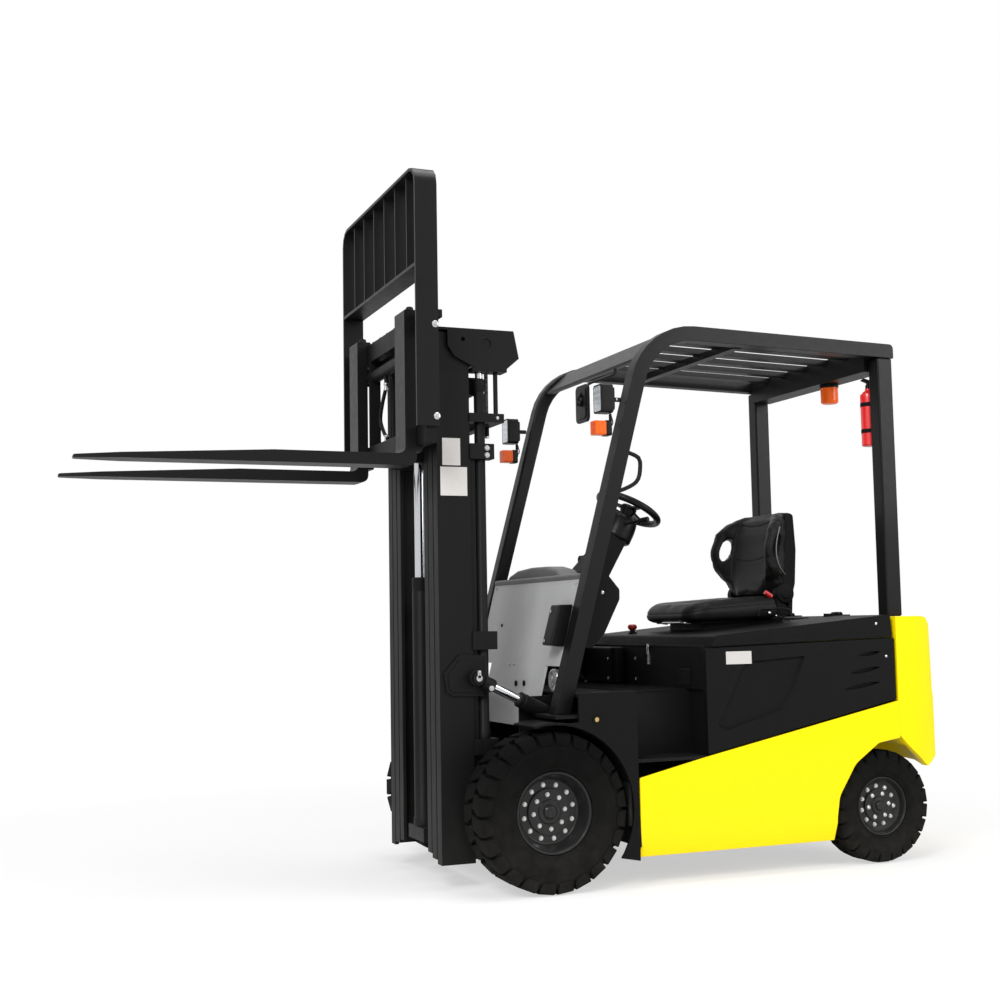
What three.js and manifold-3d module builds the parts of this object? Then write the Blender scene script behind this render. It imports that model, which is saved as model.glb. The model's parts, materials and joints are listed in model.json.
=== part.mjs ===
// Electric four-wheel counterbalance forklift truck with a three-stage full-free-lift mast.
// Millimetres. +X is forward (towards the fork tips), +Y is the driver's left, +Z is up.
// Inside this file x = 0 is the centre of the front axle and z = 0 is the floor; the exported
// group is shifted along X so that its origin is the middle of the truck's footprint.
import * as THREE from 'three';
import { mergeVertices } from 'three/addons/utils/BufferGeometryUtils.js';
import Module from 'manifold-3d';

const wasm = await Module();
wasm.setup();

// ---------------------------------------------------------------- driving dimensions
const WHEELBASE = 1475;
const FRONT_TRACK = 970;
const REAR_TRACK = 980;
const BODY_WIDTH = 1170;
const MAST_HEIGHT = 2151;
const MAST_WIDTH = 630;
const FORK_LENGTH = 1200;
const FORK_RAISED = 1600;
const GUARD_HEIGHT = 2184;
const FLOOR_HEIGHT = 727;
const HOOD_HEIGHT_FRONT = 937;
const HOOD_HEIGHT_REAR = 1009;

// ---------------------------------------------------------------- clearances
const SEAT_GAP = 0.3;
const BEARING_GAP = 0.5;
const MOVING_GAP = 6;
const SHEET = 12;

const BODY_HALF = BODY_WIDTH / 2;
const DECK_HALF = BODY_HALF - 10;
const HOOD_HALF = BODY_HALF - 13;
const PANEL_INNER = BODY_HALF - 37;
const FENDER_OUTER = BODY_HALF + 3;
const REAR_AXLE_X = -WHEELBASE;
const TAIL_X = REAR_AXLE_X - 335;

// ---------------------------------------------------------------- finishes
const finish = (colour, roughness, metalness) => ({ colour, roughness, metalness });
const BLACK_PAINT = finish(0x1b1c1e, 0.55, 0.1);
const MAST_PAINT = finish(0x202123, 0.5, 0.2);
const YELLOW_PAINT = finish(0xfff200, 0.35, 0.0);
const GREY_PANEL = finish(0x4c4e50, 0.45, 0.3);
const BLACK_PLASTIC = finish(0x1a1a1b, 0.7, 0.0);
const CHROME = finish(0xd8dadc, 0.12, 1.0);
const RUBBER = finish(0x141414, 0.9, 0.0);
const RIM_PAINT = finish(0x3a3c3e, 0.45, 0.3);
const SEAT_VINYL = finish(0x161616, 0.65, 0.0);
const AMBER = finish(0xff8a1c, 0.3, 0.0);
const RED_PAINT = finish(0xc81e1e, 0.35, 0.0);
const LENS = finish(0xdfe6ea, 0.15, 0.0);
const CAST_IRON = finish(0x2a2b2c, 0.7, 0.3);
const BATTERY_CASE = finish(0x55585c, 0.6, 0.2);

// ---------------------------------------------------------------- solids
function signedVolume(geometry) {
  const place = geometry.attributes.position;
  const [a, b, c] = [new THREE.Vector3(), new THREE.Vector3(), new THREE.Vector3()];
  let sum = 0;
  for (let corner = 0; corner < geometry.index.count; corner += 3) {
    a.fromBufferAttribute(place, geometry.index.getX(corner));
    b.fromBufferAttribute(place, geometry.index.getX(corner + 1));
    c.fromBufferAttribute(place, geometry.index.getX(corner + 2));
    sum += a.dot(b.cross(c));
  }
  return sum / 6;
}

function turnInsideOut(geometry) {
  const index = geometry.index.array;
  for (let corner = 0; corner < index.length; corner += 3) {
    [index[corner], index[corner + 1]] = [index[corner + 1], index[corner]];
  }
}

function toSolid(geometry) {
  const bare = geometry.clone();
  bare.deleteAttribute('normal');
  bare.deleteAttribute('uv');
  const merged = mergeVertices(bare, 1e-3);
  if (signedVolume(merged) < 0) turnInsideOut(merged);
  return new wasm.Manifold(new wasm.Mesh({
    numProp: 3,
    vertProperties: new Float32Array(merged.attributes.position.array),
    triVerts: new Uint32Array(merged.index.array),
  }));
}

function toGeometry(solid) {
  const mesh = solid.getMesh();
  const geometry = new THREE.BufferGeometry();
  geometry.setAttribute('position', new THREE.BufferAttribute(new Float32Array(mesh.vertProperties), 3));
  geometry.setIndex(new THREE.BufferAttribute(new Uint32Array(mesh.triVerts), 1));
  return geometry;
}

const join = (first, ...rest) => rest.reduce((whole, next) => whole.add(next), first);
const cut = (whole, ...tools) => tools.reduce((left, tool) => left.subtract(tool), whole);

// A box between two opposite corners given as x, y and z ranges.
function box([x0, x1], [y0, y1], [z0, z1]) {
  const geometry = new THREE.BoxGeometry(Math.abs(x1 - x0), Math.abs(y1 - y0), Math.abs(z1 - z0));
  geometry.translate((x0 + x1) / 2, (y0 + y1) / 2, (z0 + z1) / 2);
  return toSolid(geometry);
}

// A round bar along one axis, from one coordinate to another, centred on the other two.
function bar(axis, radius, [from, to], [a, b], sides = 16) {
  const geometry = new THREE.CylinderGeometry(radius, radius, Math.abs(to - from), sides);
  const middle = (from + to) / 2;
  if (axis === 'x') {
    geometry.rotateZ(Math.PI / 2);
    geometry.translate(middle, a, b);
  } else if (axis === 'y') {
    geometry.translate(a, middle, b);
  } else {
    geometry.rotateX(Math.PI / 2);
    geometry.translate(a, b, middle);
  }
  return toSolid(geometry);
}

// A round bar between two points of space.
function strut(radius, start, end, sides = 12) {
  const from = new THREE.Vector3(...start);
  const to = new THREE.Vector3(...end);
  const way = to.clone().sub(from);
  const geometry = new THREE.CylinderGeometry(radius, radius, way.length(), sides);
  const turn = new THREE.Quaternion().setFromUnitVectors(new THREE.Vector3(0, 1, 0), way.normalize());
  geometry.applyQuaternion(turn);
  geometry.translate(...from.add(to).divideScalar(2).toArray());
  return toSolid(geometry);
}

// A closed outline from corners [a, b] or [a, b, radius]; a radius rounds that corner.
function outline(corners, steps = 3) {
  const shape = new THREE.Shape();
  const count = corners.length;
  corners.forEach(([a, b, radius = 0], index) => {
    const corner = new THREE.Vector2(a, b);
    if (radius === 0) {
      if (index === 0) shape.moveTo(a, b);
      else shape.lineTo(a, b);
      return;
    }
    const before = new THREE.Vector2(...corners[(index + count - 1) % count].slice(0, 2)).sub(corner);
    const after = new THREE.Vector2(...corners[(index + 1) % count].slice(0, 2)).sub(corner);
    before.normalize();
    after.normalize();
    const half = Math.acos(THREE.MathUtils.clamp(before.dot(after), -1, 1)) / 2;
    const reach = radius / Math.tan(half);
    const centre = before.clone().add(after).normalize().multiplyScalar(radius / Math.sin(half)).add(corner);
    const start = before.multiplyScalar(reach).add(corner).sub(centre);
    const end = after.multiplyScalar(reach).add(corner).sub(centre);
    const turn = THREE.MathUtils.euclideanModulo(end.angle() - start.angle() + Math.PI,
      2 * Math.PI) - Math.PI;
    for (let step = 0; step <= steps; step += 1) {
      const point = start.clone().rotateAround(new THREE.Vector2(), (turn * step) / steps).add(centre);
      if (index === 0 && step === 0) shape.moveTo(point.x, point.y);
      else shape.lineTo(point.x, point.y);
    }
  });
  shape.closePath();
  return shape;
}

const extrude = (shape, depth) => new THREE.ExtrudeGeometry(shape,
  { depth, bevelEnabled: false, curveSegments: 6 });

// A plate whose outline is drawn in side view (x, z) and whose thickness runs along Y.
function sidePlate(corners, [y0, y1], steps) {
  const geometry = extrude(outline(corners, steps), y1 - y0);
  geometry.rotateX(Math.PI / 2);
  geometry.translate(0, y1, 0);
  return toSolid(geometry);
}

// A block whose outline is drawn in plan (x, y) and whose height runs along Z.
function planBlock(corners, [z0, z1], steps) {
  const geometry = extrude(outline(corners, steps), z1 - z0);
  geometry.translate(0, 0, z0);
  return toSolid(geometry);
}

// A block whose outline is drawn from the front (y, z) and whose length runs along X.
function frontBlock(corners, [x0, x1], steps) {
  const geometry = extrude(outline(corners, steps), x1 - x0);
  const turn = new THREE.Matrix4().makeBasis(
    new THREE.Vector3(0, 1, 0), new THREE.Vector3(0, 0, 1), new THREE.Vector3(1, 0, 0),
  );
  geometry.applyMatrix4(turn);
  geometry.translate(x0, 0, 0);
  return toSolid(geometry);
}

// A turned piece: profile of [radius, distance along the axis], about Y or about Z.
function turned(profile, axis, place, sides = 24) {
  const geometry = new THREE.LatheGeometry(profile.map(([r, d]) => new THREE.Vector2(r, d)), sides);
  if (axis === 'z') geometry.rotateX(Math.PI / 2);
  geometry.translate(...place);
  return toSolid(geometry);
}

// A bent round rod or hose through a list of points.
function bentRod(radius, points, sections = 12, sides = 6) {
  const path = new THREE.CatmullRomCurve3(points.map((point) => new THREE.Vector3(...point)), false,
    'centripetal');
  const ring = new THREE.Shape();
  for (let side = 0; side < sides; side += 1) {
    const angle = (2 * Math.PI * side) / sides;
    if (side === 0) ring.moveTo(radius, 0);
    else ring.lineTo(radius * Math.cos(angle), radius * Math.sin(angle));
  }
  ring.closePath();
  return toSolid(new THREE.ExtrudeGeometry(ring,
    { steps: sections, extrudePath: path, bevelEnabled: false }));
}

// The same solid on the truck's other side.
const mirrored = (solid) => toSolid(toGeometry(solid).scale(1, -1, 1));
const bothSides = (solid) => solid.add(mirrored(solid));

// ---------------------------------------------------------------- bodies and parts
function body(parent, pivot) {
  const group = new THREE.Group();
  group.userData.pivot = new THREE.Vector3(...pivot);
  if (parent) {
    group.position.copy(group.userData.pivot).sub(parent.userData.pivot);
    parent.add(group);
  }
  return group;
}

function part(owner, name, solid, paint) {
  const geometry = toGeometry(solid);
  geometry.computeBoundingBox();
  const centre = geometry.boundingBox.getCenter(new THREE.Vector3());
  geometry.translate(-centre.x, -centre.y, -centre.z);
  geometry.computeVertexNormals();
  const material = new THREE.MeshStandardMaterial({
    color: paint.colour, roughness: paint.roughness, metalness: paint.metalness,
  });
  const mesh = new THREE.Mesh(geometry, material);
  mesh.name = name;
  mesh.position.copy(centre).sub(owner.userData.pivot);
  owner.add(mesh);
}

// The same piece on the left (+Y) and, mirrored, on the right.
function pair(owners, name, solid, paint) {
  part(owners[0], `${name}_left`, solid, paint);
  part(owners[1], `${name}_right`, mirrored(solid), paint);
}

// ---------------------------------------------------------------- wheels
const frontWheel = { tyreRadius: 297.5, tyreHalf: 107.5, rimRadius: 154, rimHalf: 90, spindle: 40 };
const rearWheel = { tyreRadius: 228.5, tyreHalf: 80, rimRadius: 120, rimHalf: 66, spindle: 22 };
const FRONT_AXLE_Z = frontWheel.tyreRadius;
const REAR_AXLE_Z = rearWheel.tyreRadius;
const WHEEL_SIDES = 24;
const RIM_WALL = 11;
const HUB_CAP = 62;

function tyre(wheel, place) {
  const { tyreRadius: outer, tyreHalf: half, rimRadius: inner, rimHalf } = wheel;
  const shoulder = outer - inner;
  const flank = [
    [inner, rimHalf],
    [inner + 0.4 * shoulder, half],
    [inner + 0.85 * shoulder, half - 5],
    [outer, half - 28],
  ];
  const other = flank.map(([radius, across]) => [radius, -across]).reverse();
  return turned([...flank, ...other, flank[0]], 'y', place, WHEEL_SIDES);
}

// A dished disc rim with a closed hub cap outside and a blind hub bore inside.
function rim(wheel, place) {
  const { rimRadius, rimHalf, spindle } = wheel;
  const outer = rimRadius - SEAT_GAP;
  const inner = outer - RIM_WALL;
  const hub = 0.5 * rimRadius;
  const profile = [
    [0, HUB_CAP],
    [0.9 * hub, HUB_CAP],
    [hub, 34],
    [inner, 42],
    [inner, rimHalf],
    [outer, rimHalf],
    [outer, -rimHalf],
    [inner, -rimHalf],
    [inner, 20],
    [spindle + 12, -10],
    [spindle + BEARING_GAP, -10],
    [spindle + BEARING_GAP, 42],
    [0, 42],
  ];
  return turned(profile, 'y', place, WHEEL_SIDES);
}

// ---------------------------------------------------------------- mast
const mast = {
  front: 352, depth: 136, web: 15, flange: 50, bottom: 95,
  stageGap: 8, middleFlange: 52, middleWeb: 12, innerFlange: 48, innerWeb: 12,
};
const MAST_HALF = MAST_WIDTH / 2;
const MAST_REAR = mast.front - mast.depth;
const MIDDLE_OUT = MAST_HALF - mast.flange - mast.stageGap;
const INNER_OUT = MIDDLE_OUT - mast.middleFlange - mast.stageGap + 1;
const INNER_IN = INNER_OUT - mast.innerFlange;
const HEAD_PLATE = 10;
const OUTER_TOP = MAST_HEIGHT - HEAD_PLATE - MOVING_GAP;
const ROLLER_RADIUS = (mast.depth - 2 * mast.web) / 2 - 0.4;
const ROLLER_X = mast.front - mast.depth / 2;
const TRACK_X = [MAST_REAR, mast.front];

// One channel of a stage, open towards the middle of the truck.
function channel(outerFace, flange, web, zRange) {
  const whole = box(TRACK_X, [outerFace - flange, outerFace], zRange);
  const hollow = box(
    [MAST_REAR + mast.web, mast.front - mast.web],
    [outerFace - flange - 1, outerFace - web],
    [zRange[0] - 1, zRange[1] + 1],
  );
  return cut(whole, hollow);
}

// A guide roller on its stub, standing out from a face at y = root.
function roller(root, length, z) {
  const stub = bar('y', 18, [root - 2, root + 8], [ROLLER_X, z], 8);
  return join(stub, bar('y', ROLLER_RADIUS, [root + 5, root + length], [ROLLER_X, z], 20));
}

const liftCylinder = { x: 165, y: 291, radius: 24, rod: 15, foot: 560, top: 1960 };
const tieX = { outer: [130, 160], middle: [166, 185] };
const lug = { y: [263, 294], radius: 100, bore: 65 };
const tiltPin = { x: 215, z: 793, radius: 16, y: 347, eyeHalf: 20, drift: 3 };
const tiltBase = { x: -150, z: 612, radius: 15 };
const chainSheave = { x: 145, z: 2095, radius: 48, pitch: 55, y: [168, 192] };
const anchorZ = 1785;

function saddle([z0, z1]) {
  const block = box([116, MAST_REAR + 1], [MIDDLE_OUT + 5.5, 322], [z0, z1]);
  const tie = box(tieX.outer, [0, MIDDLE_OUT + 6], [z0, z1]);
  return join(block, tie);
}

function outerMast() {
  const channelSide = channel(MAST_HALF, mast.flange, mast.web, [mast.bottom, OUTER_TOP]);
  const bottomTie = box([140, 160], [0, MAST_HALF], [110, 200]);
  const bottomEnd = box([140, MAST_REAR + 1], [MIDDLE_OUT + 6, MAST_HALF], [110, 200]);
  const anchorBar = box([72, 112], [0, 322], [anchorZ, anchorZ + 35]);
  const anchorEnd = box([72, MAST_REAR + 1], [MIDDLE_OUT + 5.5, 322], [anchorZ, anchorZ + 35]);
  const anchorRod = bar('z', 9, [anchorZ - 35, anchorZ + 1], [chainSheave.x - chainSheave.pitch, 180], 12);
  const lugPlate = sidePlate([[MAST_REAR + 1, 205], [MAST_REAR + 1, 430], [40, 385], [-40, 297.5],
    [40, 210]], lug.y);
  const lugRing = bar('y', lug.radius, lug.y, [0, FRONT_AXLE_Z], 28);
  const ear = sidePlate(
    [[338, 814], [272, 884], [175, 878], [177, 722], [303, 727], [327, 742]], [MAST_HALF - 1, MAST_HALF + 9],
  );
  const boss = bar('y', 30, [MAST_HALF, tiltPin.y - tiltPin.eyeHalf - 0.4], [tiltPin.x, tiltPin.z]);
  const pin = bar('y', tiltPin.radius, [MAST_HALF, tiltPin.y + tiltPin.eyeHalf + 10], [tiltPin.x, tiltPin.z]);
  const keeper = bar(
    'y', 24, [tiltPin.y + tiltPin.eyeHalf + 0.4, tiltPin.y + tiltPin.eyeHalf + 12], [tiltPin.x, tiltPin.z],
  );
  const side = join(
    channelSide, bottomTie, bottomEnd, anchorBar, anchorEnd, anchorRod, lugPlate, lugRing, ear, boss, pin,
      keeper,
    saddle([500, liftCylinder.foot - SEAT_GAP]), saddle([900, 970]), saddle([1640, 1700]),
  );
  const axleBore = bar('y', lug.bore + BEARING_GAP, [lug.y[0] - 1, lug.y[1] + 1], [0, FRONT_AXLE_Z], 28);
  const barrelBore = bar(
    'z', liftCylinder.radius + SEAT_GAP, [liftCylinder.foot - SEAT_GAP, 1900],
      [liftCylinder.x, liftCylinder.y], 24,
  );
  return bothSides(cut(side, axleBore, barrelBore));
}

const MIDDLE_BOTTOM = mast.bottom + 15;
const INNER_BOTTOM = mast.bottom + 30;
const HEAD_OUT = 330.5;

function middleMast() {
  const top = MAST_HEIGHT - HEAD_PLATE;
  const channelSide = channel(MIDDLE_OUT, mast.middleFlange, mast.middleWeb, [MIDDLE_BOTTOM, top + 1]);
  const cheek = sidePlate(
    [[8, 2042], [46, 2010, 20], [60, 1998], [190, 1998], [213, 2006, 20], [280, 2040, 30], [307, 2080],
      [307, MAST_HEIGHT], [29, MAST_HEIGHT, 8]],
    [HEAD_OUT - HEAD_PLATE, HEAD_OUT],
  );
  const sheaveHole = bar('y', 20, [HEAD_OUT - 4, HEAD_OUT + 1], [chainSheave.x, chainSheave.z]);
  const smallHole = bar('y', 9, [HEAD_OUT - HEAD_PLATE - 1, HEAD_OUT + 1], [243, 2107]);
  const topPlate = box([29, mast.front - 10], [MIDDLE_OUT - mast.middleFlange, HEAD_OUT], [top, MAST_HEIGHT]);
  const rodPlate = box([60, 205], [262, HEAD_OUT], [1985, 1999]);
  const backBar = box([29, 72], [0, HEAD_OUT - 1], [2075, MAST_HEIGHT]);
  const sheave = bar('y', chainSheave.radius, chainSheave.y, [chainSheave.x, chainSheave.z], 24);
  const axle = bar('y', 16, [chainSheave.y[0] - 8, HEAD_OUT - 6], [chainSheave.x, chainSheave.z]);
  const ties = [[125, 260], [1040, 1120], [1900, 1970]].flatMap((zRange) => [
    box(tieX.middle, [0, MIDDLE_OUT], zRange),
    box([tieX.middle[0], MAST_REAR + 1], [MIDDLE_OUT - mast.middleFlange, MIDDLE_OUT], zRange),
  ]);
  const side = join(
    channelSide, cut(cheek, sheaveHole, smallHole), topPlate, rodPlate, backBar, sheave, axle, ...ties,
    roller(MIDDLE_OUT, 40, MIDDLE_BOTTOM + 70),
  );
  return bothSides(side);
}

const freeLift = { x: 318, radius: 38, rod: 22.5, foot: 205, top: 1190, stroke: 790, crossheadZ: 1985 };

function innerMast() {
  const channelSide = channel(INNER_OUT, mast.innerFlange, mast.innerWeb, [INNER_BOTTOM, OUTER_TOP]);
  const backPlates = [[INNER_BOTTOM, 330], [1040, 1090], [2040, OUTER_TOP]].map((zRange) => (
    box([MAST_REAR, MAST_REAR + mast.web], [0, INNER_IN + 5], zRange)
  ));
  const pedestal = box([MAST_REAR + 1, 350], [0, 95], [150, freeLift.foot - SEAT_GAP]);
  const steady = box([MAST_REAR + 1, freeLift.x - 20], [0, 50], [1040, 1090]);
  const chainFoot = box([MAST_REAR - 26, MAST_REAR + 1], [168, 192], [INNER_BOTTOM, INNER_BOTTOM + 50]);
  const side = join(
    channelSide, ...backPlates, pedestal, steady, chainFoot, roller(INNER_OUT, 40, INNER_BOTTOM + 75),
  );
  const barrelBore = bar('z', freeLift.radius + SEAT_GAP, [freeLift.foot - SEAT_GAP, 1200],
    [freeLift.x, 0], 24);
  return cut(bothSides(side), barrelBore);
}

// A hydraulic barrel standing on z0: a closed foot and a bore for the rod.
function barrel(radius, bore, [z0, z1], foot, place) {
  const profile = [
    [0, z0], [radius, z0], [radius, z1 - 2], [radius - 4, z1], [bore, z1], [bore, z0 + foot], [0, z0 + foot],
  ];
  return turned(profile, 'z', [place[0], place[1], 0], 24);
}

function crosshead() {
  const block = box([295, 341], [0, 31], [freeLift.crossheadZ, 2100]);
  const sheave = bar('y', 48, [34, 58], [freeLift.x, 2060], 24);
  const axle = bar('y', 15, [28, 66], [freeLift.x, 2060]);
  return bothSides(join(block, sheave, axle));
}

// ---------------------------------------------------------------- carriage, side shifter, forks
const carriage = { barX: [385, 405], plateY: [118, INNER_IN - 12], rodZ: FORK_RAISED + 445, rodX: 430 };
const forkBar = { x: [410.3, 454.7], half: 491.7, lower: [1676, 1746], upper: [2105, 2180] };
const shift = { tube: 27, tubeHalf: 250, rod: 12, lugY: [356, 374] };
const fork = { width: 122, thickness: 45, outer: 382, top: 2197 };
fork.shankFront = forkBar.x[1] + SEAT_GAP + fork.thickness;

function carriageFrame() {
  const plate = box([262, carriage.barX[0] + 1], carriage.plateY, [1640, 2120]);
  const upper = box(carriage.barX, [0, 380], [2085, 2150]);
  const lower = box(carriage.barX, [0, 380], [1690, 1750]);
  const anchor = box([363, carriage.barX[0] + 1], [36, 60], [1715, 1750]);
  const arm = box([carriage.barX[0], carriage.rodX + 14], shift.lugY, [2025, 2098]);
  const rod = bar('y', shift.rod, [0, shift.lugY[0] + 2], [carriage.rodX, carriage.rodZ]);
  const side = join(
    plate, upper, lower, anchor, arm, rod,
    roller(carriage.plateY[1], 42, 1700), roller(carriage.plateY[1], 42, 2030),
  );
  return bothSides(side);
}

function forkBars() {
  const hook = forkBar.upper[1];
  const upper = sidePlate(
    [[forkBar.x[0], forkBar.upper[0]], [forkBar.x[1], forkBar.upper[0]], [forkBar.x[1], hook], [385, hook],
      [385, 2150 + SEAT_GAP], [forkBar.x[0], 2150 + SEAT_GAP]],
    [-1, forkBar.half],
  );
  const lower = box(forkBar.x, [-1, forkBar.half], forkBar.lower);
  const upright = box(forkBar.x, [222, 246], [forkBar.lower[1] - 1, forkBar.upper[0] + 1]);
  const tubeBore = bar('y', shift.tube - 2, [200, 260], [carriage.rodX, carriage.rodZ], 24);
  return bothSides(join(upper, lower, cut(upright, tubeBore)));
}

function shiftTube() {
  const profile = [
    [shift.rod + 1, -shift.tubeHalf], [shift.tube, -shift.tubeHalf],
    [shift.tube, shift.tubeHalf], [shift.rod + 1, shift.tubeHalf], [shift.rod + 1, -shift.tubeHalf],
  ];
  const tube = turned(profile, 'y', [carriage.rodX, 0, carriage.rodZ], 24);
  const port = bar('z', 9, [carriage.rodZ - 48, carriage.rodZ - 20], [carriage.rodX, -80], 12);
  return join(tube, port);
}

function shiftHose() {
  const start = carriage.rodZ - 48 - SEAT_GAP;
  return bentRod(8, [
    [carriage.rodX, -80, start], [carriage.rodX, -80, start - 18], [carriage.rodX + 4, -122, start - 85],
    [carriage.rodX + 4, -150, start - 150], [carriage.rodX, -110, start - 210],
    [carriage.rodX, -80, forkBar.lower[1] + 24], [carriage.rodX, -80, forkBar.lower[1] + SEAT_GAP],
  ], 18);
}

function forkArm() {
  const back = fork.shankFront - fork.thickness + SEAT_GAP;
  const tip = fork.shankFront + FORK_LENGTH;
  const under = FORK_RAISED;
  const profile = sidePlate([
    [back, under + 30, 0], [back, under, 28], [tip, under, 4], [tip, under + 12, 4],
    [fork.shankFront + 500, under + fork.thickness], [fork.shankFront, under + fork.thickness, 25],
    [fork.shankFront, fork.top, 6], [back - 14, fork.top, 4], [back - 14, forkBar.upper[1] + SEAT_GAP],
    [back, forkBar.upper[1] + SEAT_GAP], [back, forkBar.lower[0] - SEAT_GAP],
    [back - 24, forkBar.lower[0] - SEAT_GAP], [back - 24, forkBar.lower[0] - 22],
      [back, forkBar.lower[0] - 22],
  ], [fork.outer - fork.width, fork.outer]);
  const inner = fork.outer - fork.width;
  const plan = planBlock([
    [300, inner], [tip - 160, inner], [tip, inner + 34, 12], [tip, fork.outer - 34, 12],
    [tip - 160, fork.outer], [300, fork.outer],
  ], [0, 3000]);
  return profile.intersect(plan);
}

const backrest = { x: [405, 493], half: 504, bar: 12, top: 2731, foot: 1735, railZ: 2340, corner: 70,
  slats: 6 };

function loadBackrest() {
  const { half, bar: thick, top, foot, corner } = backrest;
  const outer = frontBlock([[-half, foot], [half, foot], [half, top, corner], [-half, top, corner]],
    backrest.x);
  const inside = frontBlock([
    [-half + thick, foot - 1], [half - thick, foot - 1],
    [half - thick, top - thick, corner - thick], [-half + thick, top - thick, corner - thick],
  ], [backrest.x[0] - 1, backrest.x[1] + 1]);
  const rail = box(backrest.x, [-half + 2, half - 2], [backrest.railZ, backrest.railZ + thick]);
  const pitch = (2 * half) / (backrest.slats + 1);
  const slats = Array.from({ length: backrest.slats }, (_, index) => {
    const y = -half + pitch * (index + 1);
    return box([420, 480], [y - 4, y + 4], [backrest.railZ + 2, top - 2]);
  });
  return join(cut(outer, inside), rail, ...slats);
}

// ---------------------------------------------------------------- tilt cylinders
const TILT_RUN = Math.hypot(tiltPin.x - tiltBase.x, tiltPin.z - tiltBase.z);
const tiltAt = (along) => [
  tiltBase.x + ((tiltPin.x - tiltBase.x) * along) / TILT_RUN,
  tiltPin.y,
  tiltBase.z + ((tiltPin.z - tiltBase.z) * along) / TILT_RUN,
];
const tilt = { barrel: 30, rod: 19, nose: 290, bore: 40, rodTail: 130, eye: 31 };

function tiltBarrel() {
  const tube = strut(tilt.barrel, tiltAt(24), tiltAt(tilt.nose), 16);
  const bore = strut(tilt.rod + 1, tiltAt(tilt.bore), tiltAt(tilt.nose + 5), 16);
  const eye = bar('y', 28, [tiltPin.y - tiltPin.eyeHalf, tiltPin.y + tiltPin.eyeHalf],
    [tiltBase.x, tiltBase.z]);
  const hole = bar('y', tiltBase.radius + BEARING_GAP, [tiltPin.y - 40, tiltPin.y + 40],
    [tiltBase.x, tiltBase.z]);
  return cut(join(tube, eye), bore, hole);
}

function tiltRod() {
  const rod = strut(tilt.rod, tiltAt(tilt.rodTail), tiltAt(TILT_RUN - 22), 16);
  const eyeY = [tiltPin.y - tiltPin.eyeHalf, tiltPin.y + tiltPin.eyeHalf];
  const eye = bar('y', tilt.eye, eyeY, [tiltPin.x, tiltPin.z], 24);
  const hole = bar('y', tiltPin.radius + tiltPin.drift, [tiltPin.y - 40, tiltPin.y + 40],
    [tiltPin.x, tiltPin.z], 24);
  return cut(join(rod, eye), hole);
}

// ---------------------------------------------------------------- frame, axles
const kingpin = { y: 375, radius: 14, sweep: 300 };
const frame = {
  plateY: [300, 312], bulkheadX: [-320, -308], recessY: [400, 412], panZ: [230, 242],
  batteryWall: -672, rearWall: -1168, wellRoof: [500, 512], stepZ: [463, 475], deckZ: [640, 652],
};
const floorUnder = FLOOR_HEIGHT - SHEET - SEAT_GAP;
const COUNTERWEIGHT_FRONT = REAR_AXLE_X - 81;

function chassisFrame() {
  const cheek = sidePlate(
    [[-320, 180], [30, 180], [90, 235], [90, 365], [25, 450], [25, floorUnder], [-320, floorUnder]],
      frame.plateY,
  );
  const axleHole = bar('y', lug.bore + SEAT_GAP, [290, 320], [0, FRONT_AXLE_Z], 28);
  const tiltBoss = bar('y', 22, [frame.plateY[1] - 1, tiltPin.y - tiltPin.eyeHalf - 0.4],
    [tiltBase.x, tiltBase.z]);
  const tiltPost = bar('y', tiltBase.radius, [frame.plateY[1] - 1, tiltPin.y + tiltPin.eyeHalf + 8],
    [tiltBase.x, tiltBase.z]);
  const tiltKeeper = bar('y', 21, [tiltPin.y + tiltPin.eyeHalf + 0.4, tiltPin.y + tiltPin.eyeHalf + 10],
    [tiltBase.x, tiltBase.z]);
  const bulkhead = box(frame.bulkheadX, [-1, DECK_HALF], [frame.panZ[0], floorUnder]);
  const recess = box([frame.batteryWall, frame.bulkheadX[0] + 1], frame.recessY, [frame.panZ[0], floorUnder]);
  const pan = box([frame.rearWall, frame.bulkheadX[1]], [-1, BODY_HALF - SHEET - SEAT_GAP], frame.panZ);
  const batteryWall = box([frame.batteryWall - SHEET, frame.batteryWall], [-1, PANEL_INNER - SEAT_GAP],
    [frame.panZ[0], 885]);
  const rearWall = box([frame.rearWall, frame.rearWall + 10], [-1, PANEL_INNER - SEAT_GAP],
    [frame.panZ[0], 885]);
  const wellRoof = box(
    [COUNTERWEIGHT_FRONT + SEAT_GAP, frame.rearWall + 1], [-1, BODY_HALF - SHEET - SEAT_GAP], frame.wellRoof,
  );
  const tailWall = box(
    [COUNTERWEIGHT_FRONT + SEAT_GAP, COUNTERWEIGHT_FRONT + 10], [-1, PANEL_INNER - SEAT_GAP],
      [frame.wellRoof[0], 885],
  );
  const axleMount = box([REAR_AXLE_X - 55, REAR_AXLE_X + 55], [-1, 60], [290, frame.wellRoof[0] + 1]);
  const step = box([-655, frame.bulkheadX[0] + 1], [frame.recessY[1] - 1, HOOD_HALF], frame.stepZ);
  const deck = box([frame.bulkheadX[0], -10], [385, FENDER_OUTER - SHEET - SEAT_GAP], frame.deckZ);
  const side = join(
    cut(cheek, axleHole), tiltBoss, tiltPost, tiltKeeper, bulkhead, recess, pan, batteryWall, rearWall,
    wellRoof, tailWall, axleMount, step, deck,
  );
  return bothSides(side);
}

function floorPlate() {
  const left = planBlock([
    [-671, -1], [-671, 412], [-322, 412], [-322, DECK_HALF], [-122, DECK_HALF], [-122, -1],
  ], [FLOOR_HEIGHT - SHEET, FLOOR_HEIGHT]);
  return bothSides(left);
}

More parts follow.
